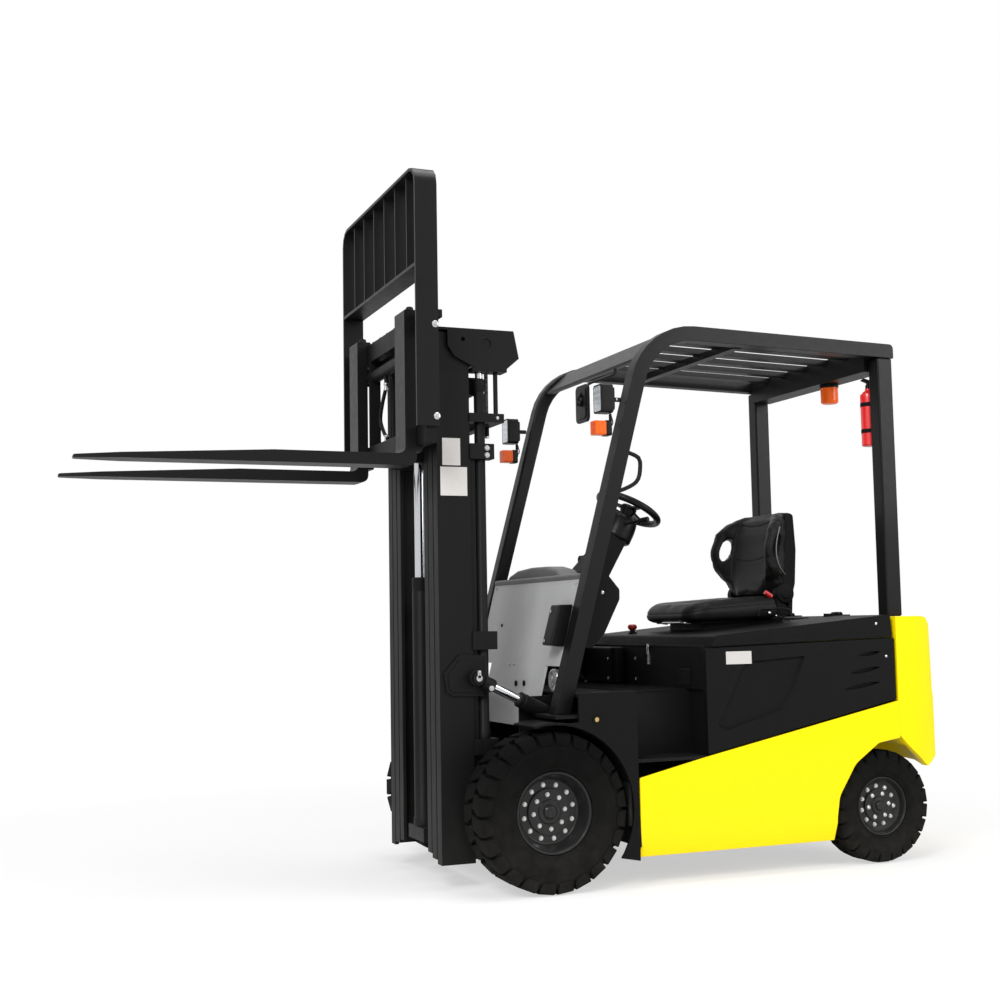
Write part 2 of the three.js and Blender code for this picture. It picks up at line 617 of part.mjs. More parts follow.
function frontAxle() {
  const tube = bar('y', lug.bore, [-1, 345], [0, FRONT_AXLE_Z], 28);
  const flange = bar('y', 95, [340, 372], [0, FRONT_AXLE_Z], 28);
  const hub = FRONT_TRACK / 2 + 42 - BEARING_GAP;
  const spindle = bar('y', frontWheel.spindle, [360, hub], [0, FRONT_AXLE_Z], 24);
  const gearbox = bar('y', 118, [-1, 120], [-42, FRONT_AXLE_Z], 28);
  return bothSides(join(tube, flange, spindle, gearbox));
}

function steerAxle() {
  const beam = planBlock([
    [REAR_AXLE_X + 60, -1], [REAR_AXLE_X + 60, 230], [REAR_AXLE_X + 38, 345],
    [REAR_AXLE_X - 38, 345], [REAR_AXLE_X - 60, 230], [REAR_AXLE_X - 60, -1],
  ], [185, 272]);
  const trunnion = box([REAR_AXLE_X - 50, REAR_AXLE_X + 50], [-1, 55], [271, 290 - SEAT_GAP]);
  const jaw = box([REAR_AXLE_X - 27, REAR_AXLE_X + 27], [330, kingpin.y], [144, 313]);
  const jawEnd = bar('z', 27, [144, 313], [REAR_AXLE_X, kingpin.y]);
  const gap = box([REAR_AXLE_X - 45, REAR_AXLE_X + 45], [kingpin.y - 31, kingpin.y + 40], [172, 285]);
  const pin = bar('z', kingpin.radius, [150, 305], [REAR_AXLE_X, kingpin.y], 16);
  const cylinder = bar('y', 32, [-1, 150], [REAR_AXLE_X - 92, REAR_AXLE_Z], 20);
  const cylinderRod = bar('y', 15, [149, 184], [REAR_AXLE_X - 92, REAR_AXLE_Z], 16);
  const cylinderMount = box([REAR_AXLE_X - 95, REAR_AXLE_X - 55], [100, 130], [205, 250]);
  return bothSides(join(cut(join(beam, jaw, jawEnd), gap), pin, trunnion, cylinder, cylinderRod,
    cylinderMount));
}

function knuckle() {
  const post = bar('z', 26, [172 + 0.6, 285 - 0.6], [REAR_AXLE_X, kingpin.y]);
  const stubEnd = REAR_TRACK / 2 + 42 - BEARING_GAP;
  const stub = bar('y', rearWheel.spindle, [kingpin.y, stubEnd], [REAR_AXLE_X, REAR_AXLE_Z]);
  const root = bar('y', 34, [kingpin.y + 5, kingpin.y + 55], [REAR_AXLE_X, REAR_AXLE_Z]);
  const bore = bar('z', kingpin.radius + BEARING_GAP, [160, 300], [REAR_AXLE_X, kingpin.y], 16);
  return cut(join(post, stub, root), bore);
}

// ---------------------------------------------------------------- bodywork
function counterweight() {
  const front = COUNTERWEIGHT_FRONT;
  const side = sidePlate([
    [front, 515], [front, 1001], [REAR_AXLE_X - 215, 1001], [REAR_AXLE_X - 256, 996, 30],
    [REAR_AXLE_X - 283, 964, 20], [REAR_AXLE_X - 292, 690, 20],
    [REAR_AXLE_X - 300, 661, 20], [TAIL_X, 625], [TAIL_X + 8, 432, 10], [REAR_AXLE_X - 231, 378, 10],
    [REAR_AXLE_X - 125, 470],
  ], [-BODY_HALF, BODY_HALF]);
  const plan = planBlock([
    [front + 1, -BODY_HALF + 3], [front + 1, BODY_HALF - 3], [REAR_AXLE_X - 185, BODY_HALF - 8],
      [TAIL_X, BODY_HALF - 60, 110],
    [TAIL_X, -BODY_HALF + 60, 110], [REAR_AXLE_X - 185, -BODY_HALF + 8],
  ], [0, 1200]);
  const well = turned(
    [[0, 100], [kingpin.sweep + 8, 100], [kingpin.sweep + 8, 300], [275, 380], [235, 440], [220, 470],
      [0, 470]],
    'z', [REAR_AXLE_X, kingpin.y, 0], 24,
  );
  return cut(side.intersect(plan), well, mirrored(well));
}

function sideSkirt() {
  const face = BODY_HALF;
  const section = frontBlock([
    [face - 85, 110], [face - 20, 110], [face, 180], [face, 700], [face - SHEET, 700], [face - SHEET, 184],
    [face - 30, 122], [face - 85, 122],
  ], [COUNTERWEIGHT_FRONT + SEAT_GAP, -350]);
  const shape = sidePlate([
    [-350, 100], [-350, 406, 8], [-648, 472], [COUNTERWEIGHT_FRONT, 655], [COUNTERWEIGHT_FRONT, 503],
    [REAR_AXLE_X + 26, 487, 40], [REAR_AXLE_X + 142, 409, 90], [REAR_AXLE_X + 225, 285, 90],
    [REAR_AXLE_X + 239, 204], [REAR_AXLE_X + 247, 100],
  ], [400, 700]);
  return section.intersect(shape);
}

function sidePanel() {
  return sidePlate([
    [-655, 480], [-655, 888, 10], [COUNTERWEIGHT_FRONT + 9, 911], [COUNTERWEIGHT_FRONT + 9, 660],
  ], [PANEL_INNER, PANEL_INNER + 30]);
}

function frontFender() {
  const shellInner = frontWheel.tyreRadius + 24.5;
  const wide = [383, FENDER_OUTER];
  const outer = bar('y', shellInner + 10, wide, [0, FRONT_AXLE_Z], 48);
  const inner = bar('y', shellInner, [wide[0] - 1, wide[1] + 1], [0, FRONT_AXLE_Z], 48);
  const keep = sidePlate([
    [75, 560], [90, 700], [frame.bulkheadX[1] + SEAT_GAP, 700], [frame.bulkheadX[1] + SEAT_GAP, 350],
      [0, 500],
  ], wide);
  const shell = cut(outer, inner).intersect(keep);
  const face = sidePlate([
    [70, 602], [10, 622, 30], [-100, 626], [-100, FLOOR_HEIGHT + 8, 8], [-345, FLOOR_HEIGHT + 8],
    [-345, 411], [-345, 100], [-250, 118], [-200, 400], [0, 500],
  ], [FENDER_OUTER - SHEET, FENDER_OUTER]);
  return join(shell, cut(face, inner));
}

const HOOD_FRONT = -700;
const HOOD_REAR = REAR_AXLE_X - 62;
const hoodTop = (x) => {
  const share = (x - HOOD_FRONT) / (HOOD_REAR - HOOD_FRONT);
  return HOOD_HEIGHT_FRONT + (HOOD_HEIGHT_REAR - HOOD_HEIGHT_FRONT) * share;
};
const hinge = { x: HOOD_REAR - 12, z: 1014, radius: 6, y: [172, 198] };

function hood() {
  const rear = HOOD_REAR - 6;
  const shell = sidePlate([
    [HOOD_FRONT + 10, 895], [HOOD_FRONT, HOOD_HEIGHT_FRONT, 14], [HOOD_REAR, HOOD_HEIGHT_REAR, 12],
      [rear, 918],
  ],
    [-HOOD_HALF, HOOD_HALF]);
  const inside = sidePlate([
    [HOOD_FRONT - 2, 880], [HOOD_FRONT - SHEET, HOOD_HEIGHT_FRONT - SHEET],
    [HOOD_REAR + SHEET, HOOD_HEIGHT_REAR - SHEET], [rear + SHEET, 880],
  ],
    [-HOOD_HALF + SHEET, HOOD_HALF - SHEET]);
  const leaf = box([hinge.x, hinge.x + 60], hinge.y, [hinge.z - 6, hinge.z + 4]);
  const knuckleRing = bar('y', 11, hinge.y, [hinge.x, hinge.z], 16);
  const foot = box([hinge.x + 30, hinge.x + 60], hinge.y, [hinge.z - 16, hinge.z]);
  const bore = bar('y', hinge.radius + BEARING_GAP, [hinge.y[0] - 1, hinge.y[1] + 1], [hinge.x, hinge.z], 16);
  const leaves = bothSides(cut(join(leaf, knuckleRing, foot), bore));
  return cut(join(shell, leaves), inside);
}

function hoodHinge() {
  const pin = bar('y', hinge.radius, [hinge.y[0] - 18, hinge.y[1] + 18], [hinge.x, hinge.z], 16);
  const ears = [[hinge.y[0] - 18, hinge.y[0] - 1], [hinge.y[1] + 1, hinge.y[1] + 18]].map((range) => join(
    bar('y', 11, range, [hinge.x, hinge.z], 16),
    box([hinge.x - 50, hinge.x], range, [hinge.z - 11, hinge.z]),
  ));
  const pad = box([hinge.x - 50, hinge.x - 14], [hinge.y[0] - 18, hinge.y[1] + 18], [999, 1008]);
  return join(pin, ...ears, pad);
}

const wheelTilt = THREE.MathUtils.degToRad(28);
const steering = { x: -630, z: 1481, radius: 138, grip: 12, hubDown: 37 };

const fascia = { foot: [-38, 590], head: [-188, 1182], thick: 10, half: 449 - SEAT_GAP, notch: 292,
  notchTop: 830 };
const fasciaSlope = (fascia.head[0] - fascia.foot[0]) / (fascia.head[1] - fascia.foot[1]);
const fasciaBack = (z) => fascia.foot[0] - fascia.thick + fasciaSlope * (z - fascia.foot[1]) - SEAT_GAP;

function dashCowl() {
  return sidePlate([
    [fasciaBack(fascia.head[1]), fascia.head[1]], [-212, 1190, 10], [-305, 1180, 20], [-352, 1124, 12],
    [-351, 1085, 12], [-282, 953, 20], [-230, 900], [fasciaBack(900), 900],
  ], [-fascia.half, fascia.half]);
}

function frontPanel() {
  const [footX, footZ] = fascia.foot;
  const [headX, headZ] = fascia.head;
  const sheet = sidePlate([
    [footX, footZ], [headX, headZ], [headX - fascia.thick, headZ], [footX - fascia.thick, footZ],
  ], [-fascia.half, fascia.half]);
  const notch = box([-200, 50], [fascia.notch, 600], [500, fascia.notchTop]);
  return cut(sheet, notch, mirrored(notch));
}

function steeringColumn() {
  const alongShaft = (down) => [
    steering.x + Math.sin(wheelTilt) * down, 0, steering.z - Math.cos(wheelTilt) * down,
  ];
  return join(
    sidePlate([
      [-345, 1186], [-480, 1170], [-500, 1186, 10], [-626, 1400, 20], [-588, 1430, 20], [-500, 1350, 60],
    ], [-55, 55]),
    box([-445, -340], [-55, 55], [1120, 1188]),
    strut(14, alongShaft(90), alongShaft(steering.hubDown + BEARING_GAP)),
  );
}

function steeringWheel() {
  const turn = (geometry) => {
    geometry.rotateY(-wheelTilt);
    geometry.translate(steering.x, 0, steering.z);
    return toSolid(geometry);
  };
  const grip = turn(new THREE.TorusGeometry(steering.radius, steering.grip, 6, 24));
  const hubGeometry = new THREE.CylinderGeometry(34, 26, 50, 16);
  hubGeometry.rotateX(Math.PI / 2);
  hubGeometry.translate(0, 0, 25 - steering.hubDown);
  const spokes = [90, 210, 330].map((angle) => {
    const spoke = new THREE.BoxGeometry(steering.radius, 26, 9);
    spoke.translate(steering.radius / 2, 0, 0);
    spoke.rotateZ(THREE.MathUtils.degToRad(angle));
    return turn(spoke);
  });
  return join(grip, turn(hubGeometry), ...spokes);
}

// ---------------------------------------------------------------- seat
const seatFloor = (x) => 1000 + (-800 - x) * 0.0245;

function seatBase() {
  const corners = [
    [-830, hoodTop(-830) - 4], [-830, seatFloor(-830)], [-1290, seatFloor(-1290)],
      [-1290, hoodTop(-1290) - 4],
  ];
  return sidePlate(corners, [-215, 215]);
}

function seatCushion() {
  return sidePlate([
    [-804, seatFloor(-804) + SEAT_GAP], [-792, 1052, 20], [-840, 1072, 40], [-1150, 1082], [-1222, 1090, 10],
    [-1232, seatFloor(-1232) + SEAT_GAP],
  ], [-245, 245]);
}

function seatBack() {
  return sidePlate([
    [-1180, 1095, 10], [-1168, 1130, 20], [-1245, 1440, 20], [-1300, 1478, 25], [-1350, 1450, 25],
    [-1300, 1090, 20], [-1288, seatFloor(-1288) + SEAT_GAP], [-1234, seatFloor(-1234) + SEAT_GAP],
      [-1224.5, 1095],
  ], [-245, 245]);
}

// ---------------------------------------------------------------- overhead guard
const guard = { outer: 515, width: 66, thick: 60, footZ: 652.3, slope: 0.2757, footX: -37, bend: 290 };
const railTop = (x) => GUARD_HEIGHT - 0.0187 * (-x - 459);
const legFront = (z) => guard.footX - guard.slope * (z - guard.footZ);
const guardY = [guard.outer - guard.width, guard.outer];
const postX = [REAR_AXLE_X - 171, REAR_AXLE_X - 95];
const REAR_RAIL_X = REAR_AXLE_X - 180;

function guardSide() {
  const lean = Math.atan(guard.slope);
  const across = guard.thick / Math.cos(lean);
  const peakZ = railTop(-459);
  const outerCorner = [legFront(peakZ), peakZ, guard.bend];
  const innerCorner = [legFront(peakZ - guard.thick) - across, peakZ - guard.thick, guard.bend - guard.thick];
  return sidePlate([
    [legFront(guard.footZ), guard.footZ], outerCorner, [REAR_RAIL_X, railTop(REAR_RAIL_X), 20],
    [REAR_RAIL_X, railTop(REAR_RAIL_X) - guard.thick], innerCorner,
      [legFront(guard.footZ) - across, guard.footZ],
  ], guardY, 8);
}

function rearPost() {
  return box(postX, guardY, [1001 + SEAT_GAP, railTop(postX[0]) - guard.thick - SEAT_GAP]);
}

const roofInner = guardY[0] - SEAT_GAP;
const slat = { half: 26, thick: 22, pitch: 158, count: 5 };

function roofGrille() {
  const header = sidePlate(
    [[-452, 2052], [-560, 2148], [-640, 2168], [-640, 2146], [-570, 2134], [-472, 2040], [-452, 2040]],
      [-roofInner, roofInner],
  );
  const bars = Array.from({ length: slat.count }, (_, index) => {
    const y = (index - (slat.count - 1) / 2) * slat.pitch;
    return sidePlate([
      [-620, 2146], [-620, 2168], [REAR_AXLE_X - 125, 2148], [REAR_AXLE_X - 125, 2148 - slat.thick],
    ], [y - slat.half, y + slat.half]);
  });
  const middle = box([-940, -900], [-roofInner, roofInner], [2112, 2142]);
  const rear = box([REAR_RAIL_X + 2, postX[1] + 20], [-roofInner, roofInner], [2050, 2150]);
  return join(header, ...bars, middle, rear);
}

// ---------------------------------------------------------------- fittings on the guard
function headLamp() {
  const lamp = box([-323, -258], [445, 520], [1812, 1927]);
  const arm = box([legFront(1855) + SEAT_GAP, -320], [470, 490], [1855, 1880]);
  const signal = box([-308, -235], [452, 508], [1724, 1785]);
  const spine = box([-322, -306], [470, 490], [1750, 1856]);
  return join(lamp, arm, signal, spine);
}

function mirror() {
  const plate = box([-318, -300], [180, 300], [1809, 1968]);
  const stalk = strut(7, [-312, 240, 1900], [-462, 240, 2022], 10);
  const root = bar('z', 7, [2014, 2040 - SEAT_GAP], [-462, 240], 10);
  return join(plate, stalk, root);
}

function beacon() {
  const x = (postX[0] + postX[1]) / 2;
  return bar('z', 42, [1962, 2050 - SEAT_GAP], [x, 110], 24);
}

function extinguisher() {
  const profile = [[0, 1733], [34, 1733], [35, 1745], [35, 1950], [20, 1980], [12, 1985], [12, 2030],
    [0, 2030]];
  const bottle = turned(profile, 'z', [REAR_AXLE_X - 125, 403, 0], 20);
  const bracket = box([REAR_AXLE_X - 145, REAR_AXLE_X - 105], [403, guardY[0] - SEAT_GAP], [1800, 1830]);
  return join(bottle, bracket);
}

function grabHandle() {
  const rear = (z) => legFront(z) - guard.thick / Math.cos(Math.atan(guard.slope)) + 10;
  return bentRod(9, [
    [rear(1505), 480, 1505], [rear(1505) - 30, 480, 1512], [-425, 480, 1550], [-440, 480, 1600],
    [-436, 480, 1640], [rear(1665) - 20, 480, 1662], [rear(1668), 480, 1668],
  ], 16);
}

// ---------------------------------------------------------------- controls
function leverConsole() {
  const block = box([-470, -340], [-206, -50], [1100, 1165]);
  const levers = Array.from({ length: 4 }, (_, index) => {
    const y = -188 + index * 34;
    return join(strut(6, [-440, y, 1150], [-490, y, 1262], 6), bar('z', 12, [1255, 1288], [-489, y], 8));
  });
  return join(block, ...levers);
}

// Covers behind and to the right of the driver's feet, one moulding.
function cabCover() {
  const heights = [FLOOR_HEIGHT + SEAT_GAP, 886];
  const front = box([frame.batteryWall + SEAT_GAP, -656], [-546, 546], heights);
  const right = box([-657, -330], [-460, -430], [heights[0], 930]);
  return join(front, right);
}

// ---------------------------------------------------------------- assembly
const CENTRE_X = (fork.shankFront + FORK_LENGTH + TAIL_X) / 2;

const truck = body(null, [0, 0, 0]);
truck.position.set(-CENTRE_X, 0, 0);

part(truck, 'chassis_frame', chassisFrame(), BLACK_PAINT);
part(truck, 'floor_plate', floorPlate(), BLACK_PLASTIC);
part(truck, 'battery_pack', box([-1156, -690], [-425, 425], [frame.panZ[1] + SEAT_GAP, 870]), BATTERY_CASE);
part(truck, 'counterweight', join(counterweight(), bothSides(hoodHinge())), YELLOW_PAINT);
pair([truck, truck], 'side_skirt', sideSkirt(), YELLOW_PAINT);
pair([truck, truck], 'side_panel', sidePanel(), BLACK_PLASTIC);
pair([truck, truck], 'front_fender', frontFender(), BLACK_PLASTIC);
part(truck, 'front_panel', frontPanel(), GREY_PANEL);
part(truck, 'dash_cowl', join(dashCowl(), steeringColumn(), leverConsole()), BLACK_PLASTIC);
part(truck, 'cab_cover', cabCover(), BLACK_PLASTIC);
part(truck, 'guard_side_left', join(guardSide(), grabHandle()), BLACK_PAINT);
part(truck, 'guard_side_right', mirrored(guardSide()), BLACK_PAINT);
pair([truck, truck], 'guard_rear_post', rearPost(), BLACK_PAINT);
part(truck, 'roof_grille', roofGrille(), BLACK_PAINT);
pair([truck, truck], 'head_lamp', headLamp(), BLACK_PLASTIC);
part(truck, 'mirror', mirror(), BLACK_PLASTIC);
part(truck, 'beacon', beacon(), AMBER);
part(truck, 'fire_extinguisher', extinguisher(), RED_PAINT);
part(truck, 'front_axle', frontAxle(), CAST_IRON);
part(truck, 'steer_axle', steerAxle(), CAST_IRON);

const frontHub = [0, FRONT_TRACK / 2, FRONT_AXLE_Z];
const rearHub = [REAR_AXLE_X, REAR_TRACK / 2, REAR_AXLE_Z];
const opposite = ([x, y, z]) => [x, -y, z];
const frontBodies = [body(truck, frontHub), body(truck, opposite(frontHub))];
pair(frontBodies, 'front_tyre', tyre(frontWheel, frontHub), RUBBER);
pair(frontBodies, 'front_rim', rim(frontWheel, frontHub), RIM_PAINT);

const kingpinAt = [REAR_AXLE_X, kingpin.y, REAR_AXLE_Z];
const knuckleBodies = [body(truck, kingpinAt), body(truck, opposite(kingpinAt))];
pair(knuckleBodies, 'steer_knuckle', knuckle(), CAST_IRON);
const rearBodies = [body(knuckleBodies[0], rearHub), body(knuckleBodies[1], opposite(rearHub))];
pair(rearBodies, 'rear_tyre', tyre(rearWheel, rearHub), RUBBER);
pair(rearBodies, 'rear_rim', rim(rearWheel, rearHub), RIM_PAINT);

const steeringBody = body(truck, [steering.x, 0, steering.z]);
part(steeringBody, 'steering_wheel', steeringWheel(), BLACK_PLASTIC);

const hoodBody = body(truck, [hinge.x, 0, hinge.z]);
part(hoodBody, 'hood', join(hood(), seatBase()), BLACK_PLASTIC);
part(hoodBody, 'seat_cushion', seatCushion(), SEAT_VINYL);
part(hoodBody, 'seat_back', seatBack(), SEAT_VINYL);

const tiltAxis = [0, 0, FRONT_AXLE_Z];
const outerBody = body(truck, tiltAxis);
part(outerBody, 'outer_mast', outerMast(), MAST_PAINT);
const liftPlace = [liftCylinder.x, liftCylinder.y];
pair([outerBody, outerBody], 'lift_barrel',
  barrel(liftCylinder.radius, liftCylinder.rod + 1, [liftCylinder.foot, liftCylinder.top], 20, liftPlace),
    MAST_PAINT);

const middleBody = body(outerBody, tiltAxis);
part(middleBody, 'middle_mast', middleMast(), MAST_PAINT);
pair([middleBody, middleBody], 'lift_rod',
  bar('z', liftCylinder.rod, [liftCylinder.foot + 30, 1985 - SEAT_GAP], liftPlace), CHROME);

const innerBody = body(middleBody, tiltAxis);
part(innerBody, 'inner_mast', innerMast(), MAST_PAINT);
part(innerBody, 'free_lift_barrel',
  barrel(freeLift.radius, freeLift.rod + 1, [freeLift.foot, freeLift.top], 50, [freeLift.x, 0]), MAST_PAINT);

const crossheadBody = body(innerBody, tiltAxis);
const freeRod = bar('z', freeLift.rod, [1090, freeLift.crossheadZ + 1], [freeLift.x, 0]);
part(crossheadBody, 'free_lift_rod', join(freeRod, crosshead()), CHROME);

const carriageBody = body(crossheadBody, tiltAxis);
part(carriageBody, 'carriage', carriageFrame(), MAST_PAINT);

const shifterBody = body(carriageBody, tiltAxis);
part(shifterBody, 'side_shift_frame', join(forkBars(), shiftTube()), MAST_PAINT);
part(shifterBody, 'side_shift_hose', shiftHose(), RUBBER);
part(shifterBody, 'load_backrest', loadBackrest(), BLACK_PAINT);
pair([shifterBody, shifterBody], 'fork', forkArm(), BLACK_PAINT);

const tiltBaseAt = [tiltBase.x, tiltPin.y, tiltBase.z];
const tiltBodies = [body(truck, tiltBaseAt), body(truck, opposite(tiltBaseAt))];
pair(tiltBodies, 'tilt_barrel', tiltBarrel(), MAST_PAINT);
const tiltRodBodies = [body(tiltBodies[0], tiltBaseAt), body(tiltBodies[1], opposite(tiltBaseAt))];
pair(tiltRodBodies, 'tilt_rod', tiltRod(), CHROME);

export default truck;
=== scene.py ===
# %% [markdown]
# # An electric counterbalance forklift
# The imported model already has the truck's frame, wheels, mast and forks at their true sizes.
# This lesson gives them their surfaces: paint, rubber, chrome, a stuffed seat, tyre blocks, bolts
# and chains. Everything is in metres unless a helper says millimetres, and each piece is told which
# moving body of the truck it rides on.

# %% Load the truck
import json
import math

import bmesh
import bpy
from mathutils import Matrix, Vector


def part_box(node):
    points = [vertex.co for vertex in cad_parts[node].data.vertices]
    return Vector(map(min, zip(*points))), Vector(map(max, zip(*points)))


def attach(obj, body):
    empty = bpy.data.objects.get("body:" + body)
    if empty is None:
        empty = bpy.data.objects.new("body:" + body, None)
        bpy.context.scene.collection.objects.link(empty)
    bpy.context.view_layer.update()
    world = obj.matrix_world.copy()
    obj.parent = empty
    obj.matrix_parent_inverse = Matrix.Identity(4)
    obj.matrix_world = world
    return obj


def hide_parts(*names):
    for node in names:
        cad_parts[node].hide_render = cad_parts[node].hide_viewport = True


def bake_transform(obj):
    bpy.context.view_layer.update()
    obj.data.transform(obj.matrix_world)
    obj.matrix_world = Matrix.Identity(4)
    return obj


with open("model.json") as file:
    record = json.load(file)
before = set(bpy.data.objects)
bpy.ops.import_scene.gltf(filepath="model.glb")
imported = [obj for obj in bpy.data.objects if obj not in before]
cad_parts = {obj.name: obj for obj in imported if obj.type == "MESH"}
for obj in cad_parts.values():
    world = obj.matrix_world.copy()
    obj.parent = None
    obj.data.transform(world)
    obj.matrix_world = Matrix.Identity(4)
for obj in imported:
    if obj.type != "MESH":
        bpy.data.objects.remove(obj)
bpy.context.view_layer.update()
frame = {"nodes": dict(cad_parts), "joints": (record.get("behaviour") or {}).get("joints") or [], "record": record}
joints = {joint["name"]: joint for joint in frame["joints"]}
AXLE_X = joints["front_wheel_left_spin"]["pos_m"][0]
carried_by = {node: body for body, nodes in frame["record"]["behaviour"]["bodies"].items()
              for node in nodes}
SIDES = (("left", 1), ("right", -1))


# %% [markdown]
# ## Eye and light
# The truck stands in a white studio, seen from its left front corner at chest height.
# One long lens, three large soft lamps and a white surround are enough: the paint then renders
# about as it is written, and the floor keeps a faint shadow.

# %% The camera
EYE = Vector((2.1795, 5.3668, 1.0001))
LOOK = Vector((-0.37169, -0.92419, 0.08787)).normalized()
TWIST = math.radians(-0.984)

level = LOOK.cross(Vector((0, 0, 1))).normalized()
upward = level.cross(LOOK)
across = level * math.cos(TWIST) + upward * math.sin(TWIST)
above = upward * math.cos(TWIST) - level * math.sin(TWIST)
camera = bpy.data.objects.new("studio_camera", bpy.data.cameras.new("studio_camera"))
bpy.context.collection.objects.link(camera)
camera.matrix_world = Matrix((
    (across.x, above.x, -LOOK.x, EYE.x),
    (across.y, above.y, -LOOK.y, EYE.y),
    (across.z, above.z, -LOOK.z, EYE.z),
    (0, 0, 0, 1),
))
camera.data.lens, camera.data.sensor_width = 50.29, 36
camera.data.clip_end = 200
bpy.context.scene.camera = camera
bpy.context.scene.view_settings.view_transform = "Standard"
print("camera at", tuple(EYE))


# %% [markdown]
# Studio photographs of machines are lit by a few large soft boxes. A disc-shaped area lamp gives
# the same broad, soft-edged highlights on rounded edges; small hard lamps would show as bright dots
# in the paint.

# %% The lamps
def soft_lamp(name, place, target, size, power):
    data = bpy.data.lights.new(name, "AREA")
    data.shape = "DISK"
    data.size = size
    data.energy = power
    lamp = bpy.data.objects.new(name, data)
    bpy.context.collection.objects.link(lamp)
    aim = (Vector(target) - Vector(place)).to_track_quat("-Z", "Y")
    lamp.matrix_world = Matrix.Translation(place) @ aim.to_matrix().to_4x4()


soft_lamp("key_lamp", (4.2, 4.6, 5.0), (0.0, 0.2, 1.0), 2.6, 300)
soft_lamp("side_lamp", (-4.5, 4.8, 3.2), (-0.6, 0.0, 0.9), 3.0, 130)
soft_lamp("top_lamp", (-0.5, 0.5, 6.0), (-0.3, 0.0, 0.8), 3.5, 160)

# %% [markdown]
# Node trees are wired by one helper. An input that is given a socket is linked to it, and any other
# value is filled in.

# %% A helper for node trees
def wire(tree, node, inputs):
    for name, value in inputs.items():
        if isinstance(value, bpy.types.NodeSocket):
            tree.links.new(value, node.inputs[name])
        else:
            node.inputs[name].default_value = value


def add(tree, kind, inputs=None, **options):
    node = tree.nodes.new(kind)
    for name, value in options.items():
        setattr(node, name, value)
    wire(tree, node, inputs or {})
    return node


# %% [markdown]
# The surround is white where the eye, a mirror or a lens looks at it, and a little dimmer as a
# light source. The floor does the same thing: close to the truck it is real pale concrete that
# takes the shadow, and further out it fades into the white of the surround.

# %% The surround
SURROUND_LIGHT = 0.5
world = bpy.data.worlds.new("studio")
bpy.context.scene.world = world
world.use_nodes = True
sky = world.node_tree
ray = add(sky, "ShaderNodeLightPath").outputs
seen = add(sky, "ShaderNodeMath", {0: ray["Is Camera Ray"], 1: ray["Is Transmission Ray"]},
           operation="ADD")
mirrored_too = add(sky, "ShaderNodeMath", {0: seen.outputs[0], 1: ray["Is Glossy Ray"]},
                   operation="ADD", use_clamp=True)
strength = add(sky, "ShaderNodeMapRange",
               {"To Min": SURROUND_LIGHT, "To Max": 1.0, "Value": mirrored_too.outputs[0]})
wire(sky, sky.nodes["Background"], {"Color": (1, 1, 1, 1), "Strength": strength.outputs["Result"]})
print("surround of", len(sky.nodes), "nodes")

# %% [markdown]
# One big square would do as a floor, but its far edge would show against the surround. So its
# material fades from shaded concrete to plain white with the distance from the truck, and no edge
# is ever seen.

# %% The floor
FLOOR_REACH, FLOOR_Z = 40.0, -0.0005
FADE_START, FADE_END = 1.4, 3.6
FADE_NEAR = 0.55
floor_mesh = bpy.data.meshes.new("studio_floor")
floor_mesh.from_pydata([(x * FLOOR_REACH, y * FLOOR_REACH, FLOOR_Z)
                        for x, y in ((-1, -1), (1, -1), (1, 1), (-1, 1))], [], [(0, 1, 2, 3)])
floor = bpy.data.objects.new("studio_floor", floor_mesh)
bpy.context.collection.objects.link(floor)
concrete = bpy.data.materials.new("studio_floor")
concrete.use_nodes = True
tree = concrete.node_tree
matt = tree.nodes["Principled BSDF"]
wire(tree, matt, {"Base Color": (0.93, 0.93, 0.93, 1), "Roughness": 0.9, "Specular IOR Level": 0.0})
place = add(tree, "ShaderNodeTexCoord")
spread = add(tree, "ShaderNodeVectorMath", {0: place.outputs["Object"]}, operation="LENGTH")
fade = add(tree, "ShaderNodeMapRange", {
    "From Min": FADE_START, "From Max": FADE_END, "To Min": FADE_NEAR, "To Max": 1.0,
    "Value": spread.outputs["Value"]})
ray = add(tree, "ShaderNodeLightPath").outputs
only_seen = add(tree, "ShaderNodeMath", {0: fade.outputs["Result"], 1: ray["Is Camera Ray"]},
                operation="MULTIPLY")
glow = add(tree, "ShaderNodeEmission")
mix = add(tree, "ShaderNodeMixShader",
          {"Fac": only_seen.outputs[0], 1: matt.outputs[0], 2: glow.outputs[0]})
wire(tree, tree.nodes["Material Output"], {"Surface": mix.outputs[0]})
floor_mesh.materials.append(concrete)
print("floor fades from", FADE_START, "to", FADE_END, "m")


# %% [markdown]
# ## Surfaces
# A painted or moulded surface is never one flat colour: it varies slightly in shade and gloss, has
# a fine grain that breaks its highlights, and gathers dust low down. One helper builds that from
# noise in the piece's own space, so that nothing slides when the mast moves. Each surface also
# records the name of a slot of the imported model, which is passed along but never used.

# %% A helper for surfaces
DUST_COLOUR, DUST_HEIGHT = (0.2, 0.19, 0.17, 1), 0.5
GLOSS_PATCH, DUST_PATCH = 31.0, 23.0
slot_of = {}


